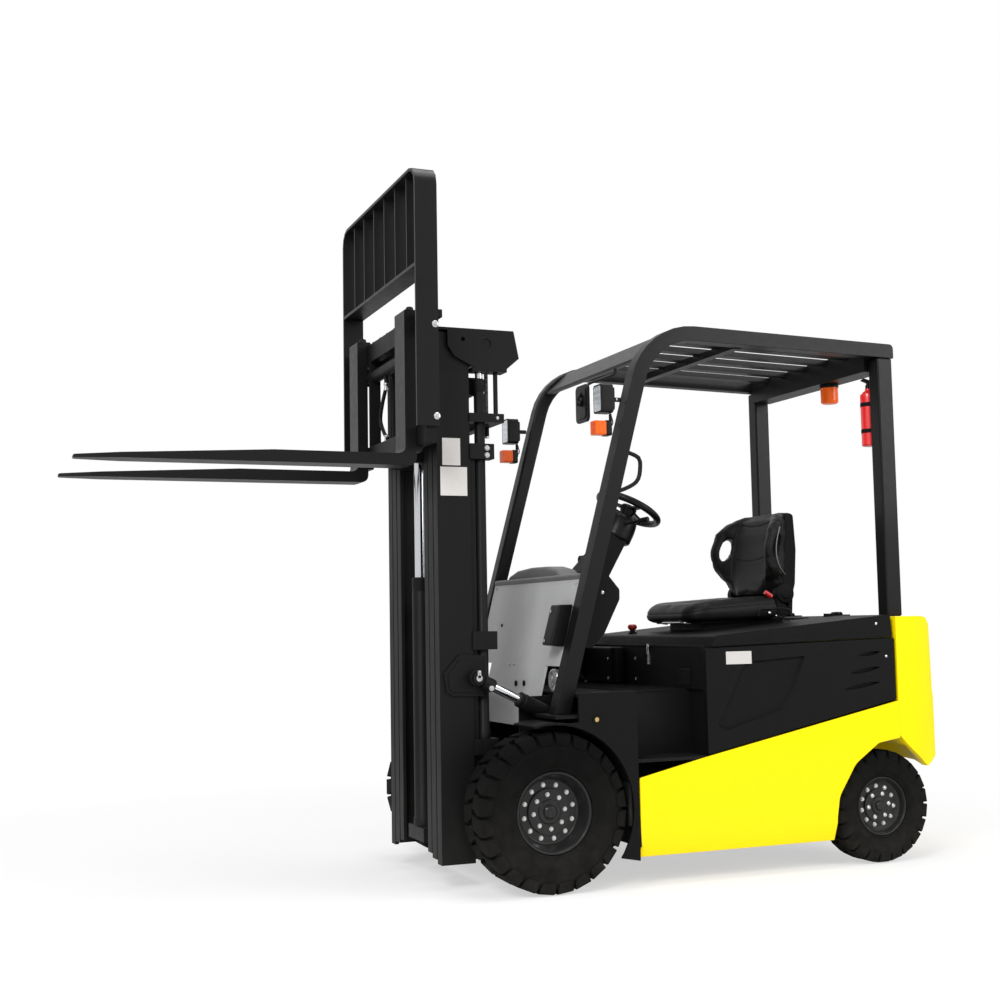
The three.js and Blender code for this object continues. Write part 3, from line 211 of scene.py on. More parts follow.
def surface(name, slot, colour, roughness, metallic=0.0, specular=0.5, coat=0.0, shade=0.12,
            patch=9.0, gloss_spread=0.08, grain=700.0, bump=0.05, stretch=(1, 1, 1), dust=0.0):
    material = bpy.data.materials.new(name)
    material.use_nodes = True
    slot_of[material.name] = slot
    tree = material.node_tree
    where = add(tree, "ShaderNodeTexCoord").outputs["Object"]
    mapping = add(tree, "ShaderNodeMapping", {"Scale": stretch, "Vector": where})

    def noise(scale, detail):
        return add(tree, "ShaderNodeTexNoise", {
            "Scale": scale, "Detail": detail, "Vector": mapping.outputs["Vector"]}).outputs["Fac"]

    darker, lighter = [(*[min(1.0, channel * (1 + way * shade)) for channel in colour], 1)
                       for way in (-1, 1)]
    tint = add(tree, "ShaderNodeMix", {"A": darker, "B": lighter, "Factor": noise(patch, 5)},
               data_type="RGBA").outputs["Result"]
    if dust:
        height = add(tree, "ShaderNodeSeparateXYZ", {"Vector": where})
        low = add(tree, "ShaderNodeMapRange", {
            "From Min": 0.0, "From Max": DUST_HEIGHT, "To Min": dust, "To Max": 0.0,
            "Value": height.outputs["Z"]})
        broken = add(tree, "ShaderNodeMath", {0: low.outputs["Result"], 1: noise(DUST_PATCH, 6)},
                     operation="MULTIPLY")
        dusty = {"Factor": broken.outputs[0], "A": tint, "B": DUST_COLOUR}
        tint = add(tree, "ShaderNodeMix", dusty, data_type="RGBA").outputs["Result"]
    gloss = add(tree, "ShaderNodeMapRange", {
        "To Min": max(0.02, roughness - gloss_spread), "To Max": min(1.0, roughness + gloss_spread),
        "Value": noise(GLOSS_PATCH, 3)})
    relief = add(tree, "ShaderNodeBump",
                 {"Strength": bump, "Distance": 0.001, "Height": noise(grain, 2)})
    wire(tree, tree.nodes["Principled BSDF"], {"Base Color": tint,
                                               "Roughness": gloss.outputs["Result"],
                                               "Normal": relief.outputs["Normal"],
                                               "Metallic": metallic, "Specular IOR Level": specular,
                                               "Coat Weight": coat, "Coat Roughness": 0.12})
    return material


# %% [markdown]
# The truck is mostly black: gloss on the guard, satin on the mast, rough on castings. The blacks
# differ in gloss and grain far more than in colour, so each has its own line here. Yellow paint is
# nearly flat in shade, and bright metal takes its look from what it reflects.

# %% Paints and metals
black_paint = surface("semi_gloss_black_paint", "black_paint", (0.0046, 0.0046, 0.0048), 0.42,
                      specular=0.14, coat=0.06, grain=420, bump=0.08)
mast_paint = surface("satin_mast_paint", "mast_paint", (0.0057, 0.0057, 0.0060), 0.5, specular=0.12,
                     shade=0.22, patch=5.0, stretch=(1, 1, 0.25), grain=380, bump=0.12, dust=0.12)
frame_paint = surface("chassis_paint", "black_paint", (0.0053, 0.0053, 0.0056), 0.58, specular=0.11,
                      shade=0.2, grain=300, bump=0.15, dust=0.3)
yellow_paint = surface("yellow_gloss_paint", "yellow_paint", (1.0, 0.76, 0.0), 0.34, specular=0.12,
                       coat=0.05, shade=0.02, patch=3.0, gloss_spread=0.05, grain=160, bump=0.03,
                       dust=0.05)
yellow_casting = surface("yellow_paint_on_casting", "yellow_iron", (1.0, 0.76, 0.0), 0.4,
                         specular=0.12, coat=0.04, shade=0.03, patch=4.0, grain=110, bump=0.14,
                         dust=0.05)
# The grey panel's wide patches, 42 percent lighter and darker, are painted reflection: they stand in for the
# surround mirrored in its slanted face. The grey itself is the panel's own colour.
grey_panel = surface("grey_panel_paint_and_painted_reflection", "grey_panel", (0.42, 0.422, 0.428), 0.4,
                     specular=0.3, shade=0.42, patch=2.6, stretch=(1, 1, 0.5), grain=500, bump=0.05)
cast_iron = surface("black_castings", "cast_iron", (0.0056, 0.0056, 0.0056), 0.66, specular=0.11,
                    shade=0.3, grain=150, bump=0.4, dust=0.4)
rim_paint = surface("rim_grey_paint", "rim_paint", (0.009, 0.0095, 0.01), 0.34, metallic=0.2,
                    specular=0.22, coat=0.08, shade=0.15, grain=260, bump=0.06, dust=0.15)
chrome = surface("ground_chrome", "chrome", (0.56, 0.57, 0.59), 0.14, metallic=1.0, shade=0.05,
                 gloss_spread=0.05, grain=60, stretch=(1, 1, 40), bump=0.02)
zinc = surface("bright_zinc_bolts", "chrome", (0.5, 0.51, 0.5), 0.28, metallic=0.9, shade=0.2,
               patch=120.0, grain=900, bump=0.08)
chain_steel = surface("oiled_chain_steel", "mast_paint", (0.05, 0.047, 0.045), 0.36, metallic=0.85,
                      shade=0.4, patch=60.0, grain=500, bump=0.1)
battery_steel = surface("battery_tray_paint", "battery_steel", (0.08, 0.09, 0.1), 0.55, shade=0.15,
                        grain=260, bump=0.1)
red_paint = surface("red_cylinder_paint", "red_paint", (0.78, 0.018, 0.02), 0.25, specular=0.5,
                    coat=0.4, shade=0.06, grain=160, bump=0.02)
brass = surface("brass_fitting", "chrome", (0.55, 0.4, 0.15), 0.3, metallic=1.0, grain=600,
                bump=0.05)

# %% [markdown]
# Rubber and mouldings scatter more light than paint. Vinyl needs a leather grain: cells with soft
# valleys between them, which a smooth Voronoi texture gives at about a millimetre and a half.

# %% Rubbers, plastics and vinyl
tyre_rubber = surface("solid_tyre_rubber", "tyre_rubber", (0.0032, 0.0032, 0.0032), 0.78,
                      specular=0.05, shade=0.35, patch=30.0, grain=240, bump=0.3, dust=0.12)
mat_rubber = surface("floor_mat_rubber", "floor_rubber", (0.0056, 0.0056, 0.0056), 0.8,
                     specular=0.09, shade=0.2, grain=200, bump=0.3)
hose_rubber = surface("hose_rubber", "hose_rubber", (0.0046, 0.0046, 0.0046), 0.5, specular=0.15,
                      grain=800, bump=0.15)
black_plastic = surface("grained_black_moulding", "black_plastic", (0.004, 0.004, 0.0041), 0.55,
                        specular=0.09, shade=0.12, grain=900, bump=0.25)
smooth_plastic = surface("smooth_black_moulding", "black_plastic", (0.0046, 0.0046, 0.0046), 0.34,
                         specular=0.16, grain=300, bump=0.03)
white_plate = surface("blank_plate", "grey_panel", (0.56, 0.54, 0.52), 0.4, specular=0.4,
                      shade=0.04, patch=40.0, grain=500, bump=0.03)
red_plastic = surface("red_moulding", "red_paint", (0.5, 0.012, 0.012), 0.35, specular=0.5,
                      coat=0.2, grain=300, bump=0.04)
amber = surface("amber_lens", "amber_plastic", (0.86, 0.115, 0.004), 0.2, specular=0.25, coat=0.12,
                shade=0.18, patch=90.0, grain=260, bump=0.1)
lens = surface("lamp_lens", "mirror_glass", (0.62, 0.66, 0.7), 0.08, metallic=0.35, specular=0.6,
               coat=0.8, shade=0.25, patch=140.0, grain=300, bump=0.25)
mirror_glass = surface("mirror_glass", "mirror_glass", (0.7, 0.73, 0.75), 0.05, metallic=1.0,
                       shade=0.02, gloss_spread=0.02, grain=40, bump=0.01)
dash_grey = surface("dash_grey_moulding", "grey_panel", (0.11, 0.11, 0.112), 0.5, specular=0.25,
                    shade=0.15, grain=700, bump=0.15)
piping = surface("pale_piping", "seat_vinyl", (0.16, 0.16, 0.165), 0.4, specular=0.4, grain=300,
                 bump=0.1)
vinyl = surface("grained_seat_vinyl", "seat_vinyl", (0.0053, 0.0053, 0.0055), 0.44, specular=0.14,
                shade=0.12, grain=600, bump=0.1)
tree = vinyl.node_tree
cells = add(tree, "ShaderNodeTexVoronoi",
            {"Scale": 620, "Vector": tree.nodes["Texture Coordinate"].outputs["Object"]},
            feature="SMOOTH_F1")
leather = add(tree, "ShaderNodeBump", {
    "Strength": 0.35, "Distance": 0.0006, "Height": cells.outputs["Distance"],
    "Normal": tree.nodes["Bump"].outputs["Normal"]})
wire(tree, tree.nodes["Principled BSDF"], {"Normal": leather.outputs["Normal"]})
print("surfaces", len(bpy.data.materials))

# %% [markdown]
# ## Workshop tools
# Every piece below is built from a few closed shapes: a block, an outline pushed through a
# thickness, a turned profile and a pipe along a path. They are written once here, in the truck's
# own frame.

# %% Closed shapes
def block(shape, low, high):
    low, high = Vector(low), Vector(high)
    made = bmesh.ops.create_cube(shape, size=1.0)
    size = high - low
    bmesh.ops.transform(shape, verts=made["verts"],
                        matrix=Matrix.Translation((low + high) / 2) @ Matrix.Diagonal((*size, 1)))


def bridge(shape, here, there):
    """Four-sided faces between two rings of the same length."""
    for number in range(len(here)):
        after = (number + 1) % len(here)
        shape.faces.new((here[number], here[after], there[after], there[number]))


def loft(shape, rings, flip=False):
    """A skin over a stack of rings, with a face on each end; flip turns the first face over."""
    rings = [[shape.verts.new(spot) for spot in ring] for ring in rings]
    for here, there in zip(rings, rings[1:]):
        bridge(shape, here, there)
    shape.faces.new(reversed(rings[0]) if flip else rings[0])
    shape.faces.new(rings[-1])


def slab(shape, corners, axis, low, high):
    """An outline in the two other axes, pushed from low to high along the axis named."""
    def point(corner, along):
        spot = list(corner)
        spot.insert("xyz".index(axis), along)
        return spot
    ends = [[shape.verts.new(point(corner, along)) for corner in corners] for along in (low, high)]
    shape.faces.new(ends[0])
    shape.faces.new(ends[1])
    bridge(shape, *ends)


def turned(shape, profile, centre, axis, sides=48):
    """A profile of (radius, distance along the axis) spun round; radius 0 closes an end."""
    centre = Vector(centre)
    index = "xyz".index(axis)
    one, two = [(1, 2), (2, 0), (0, 1)][index]
    rings = []
    for radius, along in profile:
        ring = []
        for side in range(sides if radius > 1e-6 else 1):
            angle = 2 * math.pi * side / sides
            spot = centre.copy()
            spot[index] += along
            spot[one] += radius * math.cos(angle)
            spot[two] += radius * math.sin(angle)
            ring.append(shape.verts.new(spot))
        rings.append(ring)
    closed = profile[0][0] > 1e-6
    for number in range(len(rings) - (0 if closed else 1)):
        here, there = rings[number], rings[(number + 1) % len(rings)]
        for side in range(sides):
            after = (side + 1) % sides
            face = list(dict.fromkeys((here[side % len(here)], here[after % len(here)],
                                       there[after % len(there)], there[side % len(there)])))
            if len(face) > 2:
                shape.faces.new(face)


def rod(shape, radius, low, high, centre, axis, sides):
    """A plain round bar between two distances along the axis."""
    turned(shape, [(0, low), (radius, low), (radius, high), (0, high)], centre, axis, sides)


def rounded_path(points, radius, steps=5):
    points = [Vector(point) for point in points]
    path = [points[0]]
    for before, corner, after in zip(points, points[1:], points[2:]):
        back, on = (before - corner), (after - corner)
        reach = min(radius, back.length * 0.49, on.length * 0.49)
        start, end = corner + back.normalized() * reach, corner + on.normalized() * reach
        for step in range(steps + 1):
            share = step / steps
            path.append(start * (1 - share) ** 2 + corner * 2 * share * (1 - share)
                        + end * share ** 2)
    return path + [points[-1]]


def pipe(shape, path, radius, sides=12, closed=False):
    path = [Vector(point) for point in path]
    count = len(path)
    side_way = None
    rings = []
    for number, spot in enumerate(path):
        ahead = path[(number + 1) % count] if closed else path[min(number + 1, count - 1)]
        behind = path[number - 1] if closed or number else path[0]
        forward = (ahead - behind).normalized()
        if side_way is None:
            side_way = forward.orthogonal().normalized()
        side_way = (side_way - forward * side_way.dot(forward)).normalized()
        other = forward.cross(side_way)
        rings.append([shape.verts.new(spot
                                      + radius * (side_way * math.cos(2 * math.pi * side / sides)
                                                  + other * math.sin(2 * math.pi * side / sides)))
                      for side in range(sides)])
    for number in range(count if closed else count - 1):
        bridge(shape, rings[number], rings[(number + 1) % count])
    if not closed:
        shape.faces.new(rings[0])
        shape.faces.new(rings[-1])


def smoothed(points, steps=4):
    """A Catmull-Rom curve through the points: a flank or a hose bends instead of breaking."""
    fine = []
    for number in range(len(points) - 1):
        four = [points[min(max(number + shift, 0), len(points) - 1)] for shift in (-1, 0, 1, 2)]
        for step in range(steps):
            t = step / steps
            fine.append(tuple(0.5 * (2 * b + (c - a) * t + (2 * a - 5 * b + 4 * c - d) * t * t
                                     + (3 * b - a - 3 * c + d) * t ** 3)
                              for a, b, c, d in zip(*four)))
    return fine + [points[-1]]


# %% [markdown]
# A finished piece gets one mesh, its surface, softened edges and the body that it rides on. Real
# sheet and bar have a small radius on every edge, and that thin line of light is what makes them
# look solid.

# %% Finishing a piece
SHARP_ANGLE = 35
FLAT_FACE_WEIGHT = 90


def baked(thing):
    """Turns what the modifiers make into the object's own mesh."""
    bpy.context.view_layer.update()
    thing.data = bpy.data.meshes.new_from_object(
        thing.evaluated_get(bpy.context.evaluated_depsgraph_get()))
    thing.modifiers.clear()
    return thing.data


def soften(thing, width, segments=2, angle=SHARP_ANGLE):
    if width:
        bevel = thing.modifiers.new("edge", "BEVEL")
        bevel.width, bevel.segments = width, segments
        bevel.limit_method, bevel.angle_limit = "ANGLE", math.radians(angle)
        bevel.face_strength_mode = "FSTR_ALL"
    done = baked(thing)
    for face in done.polygons:
        face.use_smooth = True
    done.set_sharp_from_angle(angle=math.radians(angle))
    if width:
        even = thing.modifiers.new("normals", "WEIGHTED_NORMAL")
        even.keep_sharp, even.weight = True, FLAT_FACE_WEIGHT
        baked(thing)


def carve(thing, cutter):
    """Cuts the cutter's shape out of the thing and throws the cutter away."""
    cut = thing.modifiers.new("carve", "BOOLEAN")
    cut.operation, cut.solver, cut.object = "DIFFERENCE", "EXACT", cutter
    soften(thing, 0)
    bpy.data.objects.remove(cutter)


def mount(thing, body, slot, *stands_for):
    print(thing.name, len(thing.data.polygons), "faces")
    if body:
        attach(thing, body)
    if stands_for:
        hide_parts(*stands_for)


def settle(name, shape, material, body, slot=None, edge=0.0015, angle=SHARP_ANGLE, segments=2,
           stands_for=()):
    bmesh.ops.recalc_face_normals(shape, faces=shape.faces)
    mesh = bpy.data.meshes.new(name)
    shape.to_mesh(mesh)
    shape.free()
    mesh.materials.append(material)
    thing = bpy.data.objects.new(name, mesh)
    bpy.context.collection.objects.link(thing)
    soften(thing, edge, segments, angle)
    if body:
        mount(thing, body, slot or slot_of[material.name], *stands_for)
    return thing


def beside(build):
    """The same shape on the left and, mirrored, on the right."""
    for side, sign in SIDES:
        build(side, sign)


# %% [markdown]
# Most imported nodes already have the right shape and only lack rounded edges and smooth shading.
# A copy of such a node is cleaned to flat faces, its edges are rounded, and it stands for the node.

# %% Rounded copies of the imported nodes
WELD_GAP, FLAT_ANGLE = 0.00002, 0.6


def rounded_copy(node, material, edge, cut=None):
    shape = bmesh.new()
    shape.from_mesh(frame["nodes"][node].data)
    bmesh.ops.remove_doubles(shape, verts=shape.verts, dist=WELD_GAP)
    bmesh.ops.dissolve_limit(shape, angle_limit=math.radians(FLAT_ANGLE), verts=shape.verts,
                             edges=shape.edges)
    mesh = bpy.data.meshes.new(node + "_shown")
    shape.to_mesh(mesh)
    shape.free()
    mesh.materials.clear()
    mesh.materials.append(material)
    for face in mesh.polygons:
        face.material_index = 0
    thing = bpy.data.objects.new(node + "_shown", mesh)
    bpy.context.collection.objects.link(thing)
    if cut:
        carve(thing, settle(node + "_cutter", cut, material, None, edge=0))
    soften(thing, edge)
    mount(thing, carried_by[node], slot_of[material.name], node)


# %% [markdown]
# ## Things that repeat
# Bolts stand on a circle, ribs and louvres in a row, links along a path. Geometry Nodes say each
# rule once: a tree puts copies of one small shape on points, realises them and gives them their
# surface. The result is then turned into plain mesh, one for each body.

# %% Node trees for circles, rows and marked points
INPUT_KINDS = {
    "Count": "Int", "Radius": "Float", "First angle": "Float", "Centre": "Vector", "Turn": "Vector",
    "Start": "Vector", "Step": "Vector", "Size": "Float", "Shape": "Object", "Surface": "Material",
}


def new_tree(name, *inputs):
    tree = bpy.data.node_groups.new(name, "GeometryNodeTree")
    for way in ("OUTPUT", "INPUT"):
        tree.interface.new_socket("Geometry", in_out=way, socket_type="NodeSocketGeometry")
    for label in (*inputs, "Shape", "Surface"):
        tree.interface.new_socket(label, in_out="INPUT",
                                  socket_type="NodeSocket" + INPUT_KINDS[label])
    return tree, tree.nodes.new("NodeGroupInput").outputs


def copies_on(tree, given, points, **placed):
    """Copies of the tool on the points; placed links their Rotation and Scale."""
    tool = add(tree, "GeometryNodeObjectInfo", {"Object": given["Shape"]})
    return add(tree, "GeometryNodeInstanceOnPoints", {
        "Points": points, "Instance": tool.outputs["Geometry"], **placed}).outputs["Instances"]


def close_tree(tree, given, instances):
    real = add(tree, "GeometryNodeRealizeInstances", {"Geometry": instances})
    paint = add(tree, "GeometryNodeSetMaterial",
                {"Geometry": real.outputs["Geometry"], "Material": given["Surface"]})
    add(tree, "NodeGroupOutput", {"Geometry": paint.outputs["Geometry"]})


# a ring of copies that look outward, turned to its first angle, then set in its place
circle_tree, given = new_tree("copies_on_a_circle", "Count", "Radius", "First angle", "Centre",
                              "Turn")
ring = add(circle_tree, "GeometryNodeMeshCircle",
           {"Vertices": given["Count"], "Radius": given["Radius"]})
spot = add(circle_tree, "GeometryNodeInputPosition")
outward = add(circle_tree, "FunctionNodeAlignEulerToVector", {"Vector": spot.outputs[0]},
              axis="X", pivot_axis="Z")
copies = copies_on(circle_tree, given, ring.outputs["Mesh"], Rotation=outward.outputs["Rotation"])
first_turn = add(circle_tree, "ShaderNodeCombineXYZ", {"Z": given["First angle"]})
first = add(circle_tree, "GeometryNodeTransform",
            {"Geometry": copies, "Rotation": first_turn.outputs[0]})
seated = add(circle_tree, "GeometryNodeTransform", {"Geometry": first.outputs["Geometry"],
                                                    "Translation": given["Centre"],
                                                    "Rotation": given["Turn"]})
close_tree(circle_tree, given, seated.outputs["Geometry"])

# a straight row
row_tree, given = new_tree("copies_in_a_row", "Count", "Start", "Step")
line = add(row_tree, "GeometryNodeMeshLine", {
    "Count": given["Count"], "Start Location": given["Start"], "Offset": given["Step"]})
close_tree(row_tree, given, copies_on(row_tree, given, line.outputs["Mesh"]))

# one copy on each marked point, with the point's own turn
mark_tree, given = new_tree("copies_on_marks", "Size")
turn = add(mark_tree, "GeometryNodeInputNamedAttribute", {"Name": "turn"}, data_type="FLOAT_VECTOR")
close_tree(mark_tree, given, copies_on(mark_tree, given, given["Geometry"],
                                       Rotation=turn.outputs["Attribute"], Scale=given["Size"]))

# links along a path
path_tree, given = new_tree("links_along_a_path", "Count")
as_curve = add(path_tree, "GeometryNodeMeshToCurve", {"Mesh": given["Geometry"]})
even = add(path_tree, "GeometryNodeResampleCurve",
           {"Curve": as_curve.outputs["Curve"], "Count": given["Count"]})
along = add(path_tree, "GeometryNodeInputTangent")
follow = add(path_tree, "FunctionNodeAlignEulerToVector", {"Vector": along.outputs[0]},
             axis="Z", pivot_axis="Y")
close_tree(path_tree, given, copies_on(path_tree, given, even.outputs["Curve"],
                                       Rotation=follow.outputs["Rotation"]))


# %% [markdown]
# A tree could stay on its object as a live modifier, but the export wants plain mesh. So one
# function makes a fresh object, fills the tree's inputs, evaluates it once and keeps the result.

# %% Running a tree
def grow(name, tree, material, tool, body, source=None, **values):
    """Runs the tree on a fresh object and keeps its result as plain mesh."""
    thing = bpy.data.objects.new(name, source or bpy.data.meshes.new(name))
    bpy.context.collection.objects.link(thing)
    rule = thing.modifiers.new("rule", "NODES")
    rule.node_group = tree
    sockets = {item.name: item.identifier for item in tree.interface.items_tree
               if item.item_type == "SOCKET" and item.in_out == "INPUT"}
    values.update({"Shape": tool, "Surface": material})
    for label, value in values.items():
        rule[sockets[label.replace("_", " ")]] = value
    thing.update_tag()
    baked(thing)
    mount(thing, body, slot_of[material.name])
    return thing


def marks(name, spots, turns):
    """A bare mesh of points with the turn that each copy takes."""
    mesh = bpy.data.meshes.new(name)
    mesh.from_pydata([tuple(spot) for spot in spots], [], [])
    turned_by = mesh.attributes.new("turn", "FLOAT_VECTOR", "POINT")
    for item, angles in zip(turned_by.data, turns):
        item.vector = angles
    return mesh


# %% [markdown]
# The fasteners of the truck are hexagon bolts and domed screws. Each is modelled once at one metre
# of head width, lying at the origin and looking along +Z, and the trees place it at its true size.

# %% Fasteners
tools = []


def tool_shape(name, shape):
    """A shape for the trees to copy; it is put away at the end."""
    bmesh.ops.recalc_face_normals(shape, faces=shape.faces)
    mesh = bpy.data.meshes.new(name)
    shape.to_mesh(mesh)
    shape.free()
    for face in mesh.polygons:
        face.use_smooth = True
    mesh.set_sharp_from_angle(angle=math.radians(30))
    thing = bpy.data.objects.new(name, mesh)
    bpy.context.collection.objects.link(thing)
    tools.append(thing)
    return thing


shape = bmesh.new()
rod(shape, 0.62, -0.02, 0.07, (0, 0, 0), "z", 20)
turned(shape, [(0, 0.06), (0.52, 0.06), (0.52, 0.36), (0.46, 0.42), (0, 0.42)], (0, 0, 0), "z", 6)
hex_bolt = tool_shape("hex_bolt", shape)
shape = bmesh.new()
turned(shape,
       [(0, -0.02), (0.5, -0.02), (0.5, 0.1), (0.36, 0.24), (0.17, 0.29), (0.16, 0.2), (0, 0.2)],
       (0, 0, 0), "z", 16)
dome_screw = tool_shape("dome_screw", shape)

# which way a fastener looks, as the turn that takes +Z there
FACING = {"+x": (0, math.pi / 2, 0), "+y": (-math.pi / 2, 0, 0), "-y": (math.pi / 2, 0, 0),
          "-z": (math.pi, 0, 0)}
OUTWARD = {1: "+y", -1: "-y"}


def fasten(name, spots, facing, size, body, tool=hex_bolt):
    """Bright fasteners of one size on one body; spots and size in millimetres, as for mm()."""
    places = [mm(*spot) for spot in spots]
    turns = [FACING[facing]] * len(spots) if isinstance(facing, str) else [FACING[way]
                                                                           for way in facing]
    grow(name, mark_tree, zinc, tool, body, source=marks(name, places, turns), Size=size / 1000)


def mm(x, y, z):
    """A place in millimetres, x from the front axle forward, as truck drawings are dimensioned."""
    return Vector((x / 1000 + AXLE_X, y / 1000, z / 1000))


def mm_outline(corners):
    """An (x, z) outline in millimetres from the front axle, in metres."""
    return [(x / 1000 + AXLE_X, z / 1000) for x, z in corners]

# %% [markdown]
# ## Tyres
# The truck rolls on solid tyres: a thick carcass with a plain flank and two rows of deep blocks
# whose grooves zigzag round the middle. The blocks repeat exactly, so one block is modelled and a
# circle of copies makes each row; the second row is turned by half a pitch. The blocks reach the
# tyre's full radius and the carcass stops at the bottom of the grooves.

# %% One tyre
def tread_block(outer, half, groove, pitch, sign):
    """A block from the middle groove to the shoulder; its inner end leans round the tyre."""
    deep = outer - groove - 0.004
    stations = [(0.003, deep, outer - 0.0005, 0.2, 0.7), (0.3 * half, deep, outer, 0.12, 0.78),
                (0.55 * half, deep, outer, 0.0, 0.82),
                (half - 0.026, deep, outer - 0.0005, 0.0, 0.84),
                (half - 0.013, deep - 0.006, outer - 0.005, 0.0, 0.83),
                (half - 0.006, deep - 0.014, outer - 0.016, 0.0, 0.8),
                (half - 0.003, deep - 0.027, outer - 0.031, 0.0, 0.72),]
    rings = []
    for across_at, low, high, lean, wide in stations:
        ring = []
        for radius, way in ((low, -1), (low, 1), (high, 1), (high, -1)):
            slack = 0.0015 if radius == low else 0.0
            angle = (lean * pitch + way * (wide * pitch / 2 + slack)) / outer
            ring.append((radius * math.cos(angle), radius * math.sin(angle), sign * across_at))
        rings.append(ring)
    shape = bmesh.new()
    loft(shape, rings)
    block_tool = tool_shape("tread_block", shape)
    soften(block_tool, 0.0022, 1, 30)
    return block_tool


def tyre(name, body, centre, outer, half, bead, bead_half, groove, count, node):
    base = outer - groove
    wall = base - bead
    section = [(bead, bead_half), (bead + 0.05 * wall, bead_half + 0.004),
               (bead + 0.1 * wall, half - 0.012), (bead + 0.22 * wall, half - 0.004),
               (bead + 0.4 * wall, half - 0.0012), (bead + 0.55 * wall, half - 0.0012),
               (bead + 0.72 * wall, half - 0.004), (bead + 0.86 * wall, half - 0.012),
               (base - 0.002, half - 0.026), (base, 0.3 * half),]
    flank = smoothed(section)
    ribs = [(radius,
             along + (0.0014 if 0.3 < (radius - bead) / wall < 0.335
                      or 0.6 < (radius - bead) / wall < 0.64 else 0)) for radius, along in flank]
    shape = bmesh.new()
    turned(shape, ribs + [(radius, -along) for radius, along in reversed(ribs)], centre, "y", 96)
    settle(name + "_carcass", shape, tyre_rubber, body, edge=0, angle=50, stands_for=(node,))
    pitch = 2 * math.pi * outer / count
    for side, sign in (("outer", 1), ("inner", -1)):
        tool = tread_block(outer, half, groove, pitch, sign)
        grow(f"{name}_{side}_blocks", circle_tree, tyre_rubber, tool, body, Count=count,
             Radius=0.0001, First_angle=0.0 if sign > 0 else math.pi / count, Centre=centre,
             Turn=(math.pi / 2, 0, 0))


# for each axle: the tyre's outer radius and half width, the same for its seat on the rim, the
# groove's depth, then how many blocks, clamp bolts and wheel nuts go round it
WHEEL_SIZES = {
    "front": (0.2975, 0.1075, 0.154, 0.09, 0.017, 24, 12, 8),
    "rear": (0.2285, 0.08, 0.12, 0.066, 0.014, 22, 11, 6),
}


def wheels():
    """Each wheel as its end of a node's name, its body, its centre and its sizes."""
    for axle, sizes in WHEEL_SIZES.items():
        for side, sign in SIDES:
            body = f"{axle}_wheel_{side}"
            yield axle, side, sign, body, Vector(joints[body + "_spin"]["pos_m"]), sizes


for axle, side, sign, body, centre, sizes in wheels():
    node = f"{axle}_tyre_{side}"
    tyre(node + "_tread", body, centre, *sizes[:6], node)


# %% [markdown]
# ## Rims
# A rim is a turned steel dish: a lip, a deep cone and a flat disc with the clamp ring's bolts round
# it and the wheel nuts nearer the hub. It is one profile spun round, with two circles of fasteners.

# %% One rim
def rim(node, body, centre, sign, radius, half, clamp_bolts, wheel_nuts):
    name = node + "_dish"
    hub = 0.5 * radius
    hole = 0.043 if radius > 0.13 else 0.026
    profile = [(0, 0.058), (0.26 * hub, 0.058), (0.34 * hub, 0.053), (0.36 * hub, 0.046),
               (0.56 * hub, 0.044), (0.6 * hub, 0.0385), (1.1 * hub, 0.0385), (1.12 * hub, 0.03),
               (1.5 * hub, 0.03), (1.56 * hub, 0.033), (0.86 * radius, half - 0.026),
               (0.9 * radius, half - 0.008), (0.94 * radius, half - 0.001),
               (0.975 * radius, half - 0.001), (radius - 0.0003, half - 0.006),
               (radius - 0.0003, -half + 0.002), (radius - 0.01, -half + 0.001),
               (radius - 0.012, 0.018), (hole + 0.016, -0.009), (hole, -0.009), (hole, 0.041),
               (0, 0.0425),]
    shape = bmesh.new()
    turned(shape, [(r, sign * along) for r, along in profile], centre, "y", 72)
    settle(name, shape, rim_paint, body, edge=0.0012, angle=28, stands_for=(node,))
    face = -math.pi / 2 if sign > 0 else math.pi / 2
    for part, width, count, circle, first_angle, out in (
            ("_clamp_bolts", 0.0145, clamp_bolts, 1.31, 0.2, 0.0299),
            ("_wheel_nuts", 0.014, wheel_nuts, 0.83, 0.1, 0.0384)):
        grow(name + part, circle_tree, zinc, hex_tool(width), body, Count=count,
             Radius=circle * hub, First_angle=first_angle,
             Centre=centre + Vector((0, sign * out, 0)), Turn=(face, 0, 0))


def hex_tool(width):
    name = f"hex_bolt_{round(width * 10000)}"
    if name in bpy.data.objects:
        return bpy.data.objects[name]
    sized = hex_bolt.copy()
    sized.data = hex_bolt.data.copy()
    sized.name = name
    sized.data.transform(Matrix.Scale(width, 4))
    bpy.context.collection.objects.link(sized)
    tools.append(sized)
    return sized


for axle, side, sign, body, centre, sizes in wheels():
    _, _, seat_radius, seat_half, _, _, clamp_bolts, wheel_nuts = sizes
    rim(f"{axle}_rim_{side}", body, centre, sign, seat_radius, seat_half, clamp_bolts, wheel_nuts)


# %% [markdown]
# ## Frame, bodywork and mast in their own paint
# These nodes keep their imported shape. Castings get wide soft edges, folded sheet narrow ones,
# rolled mast channels a small mill radius.

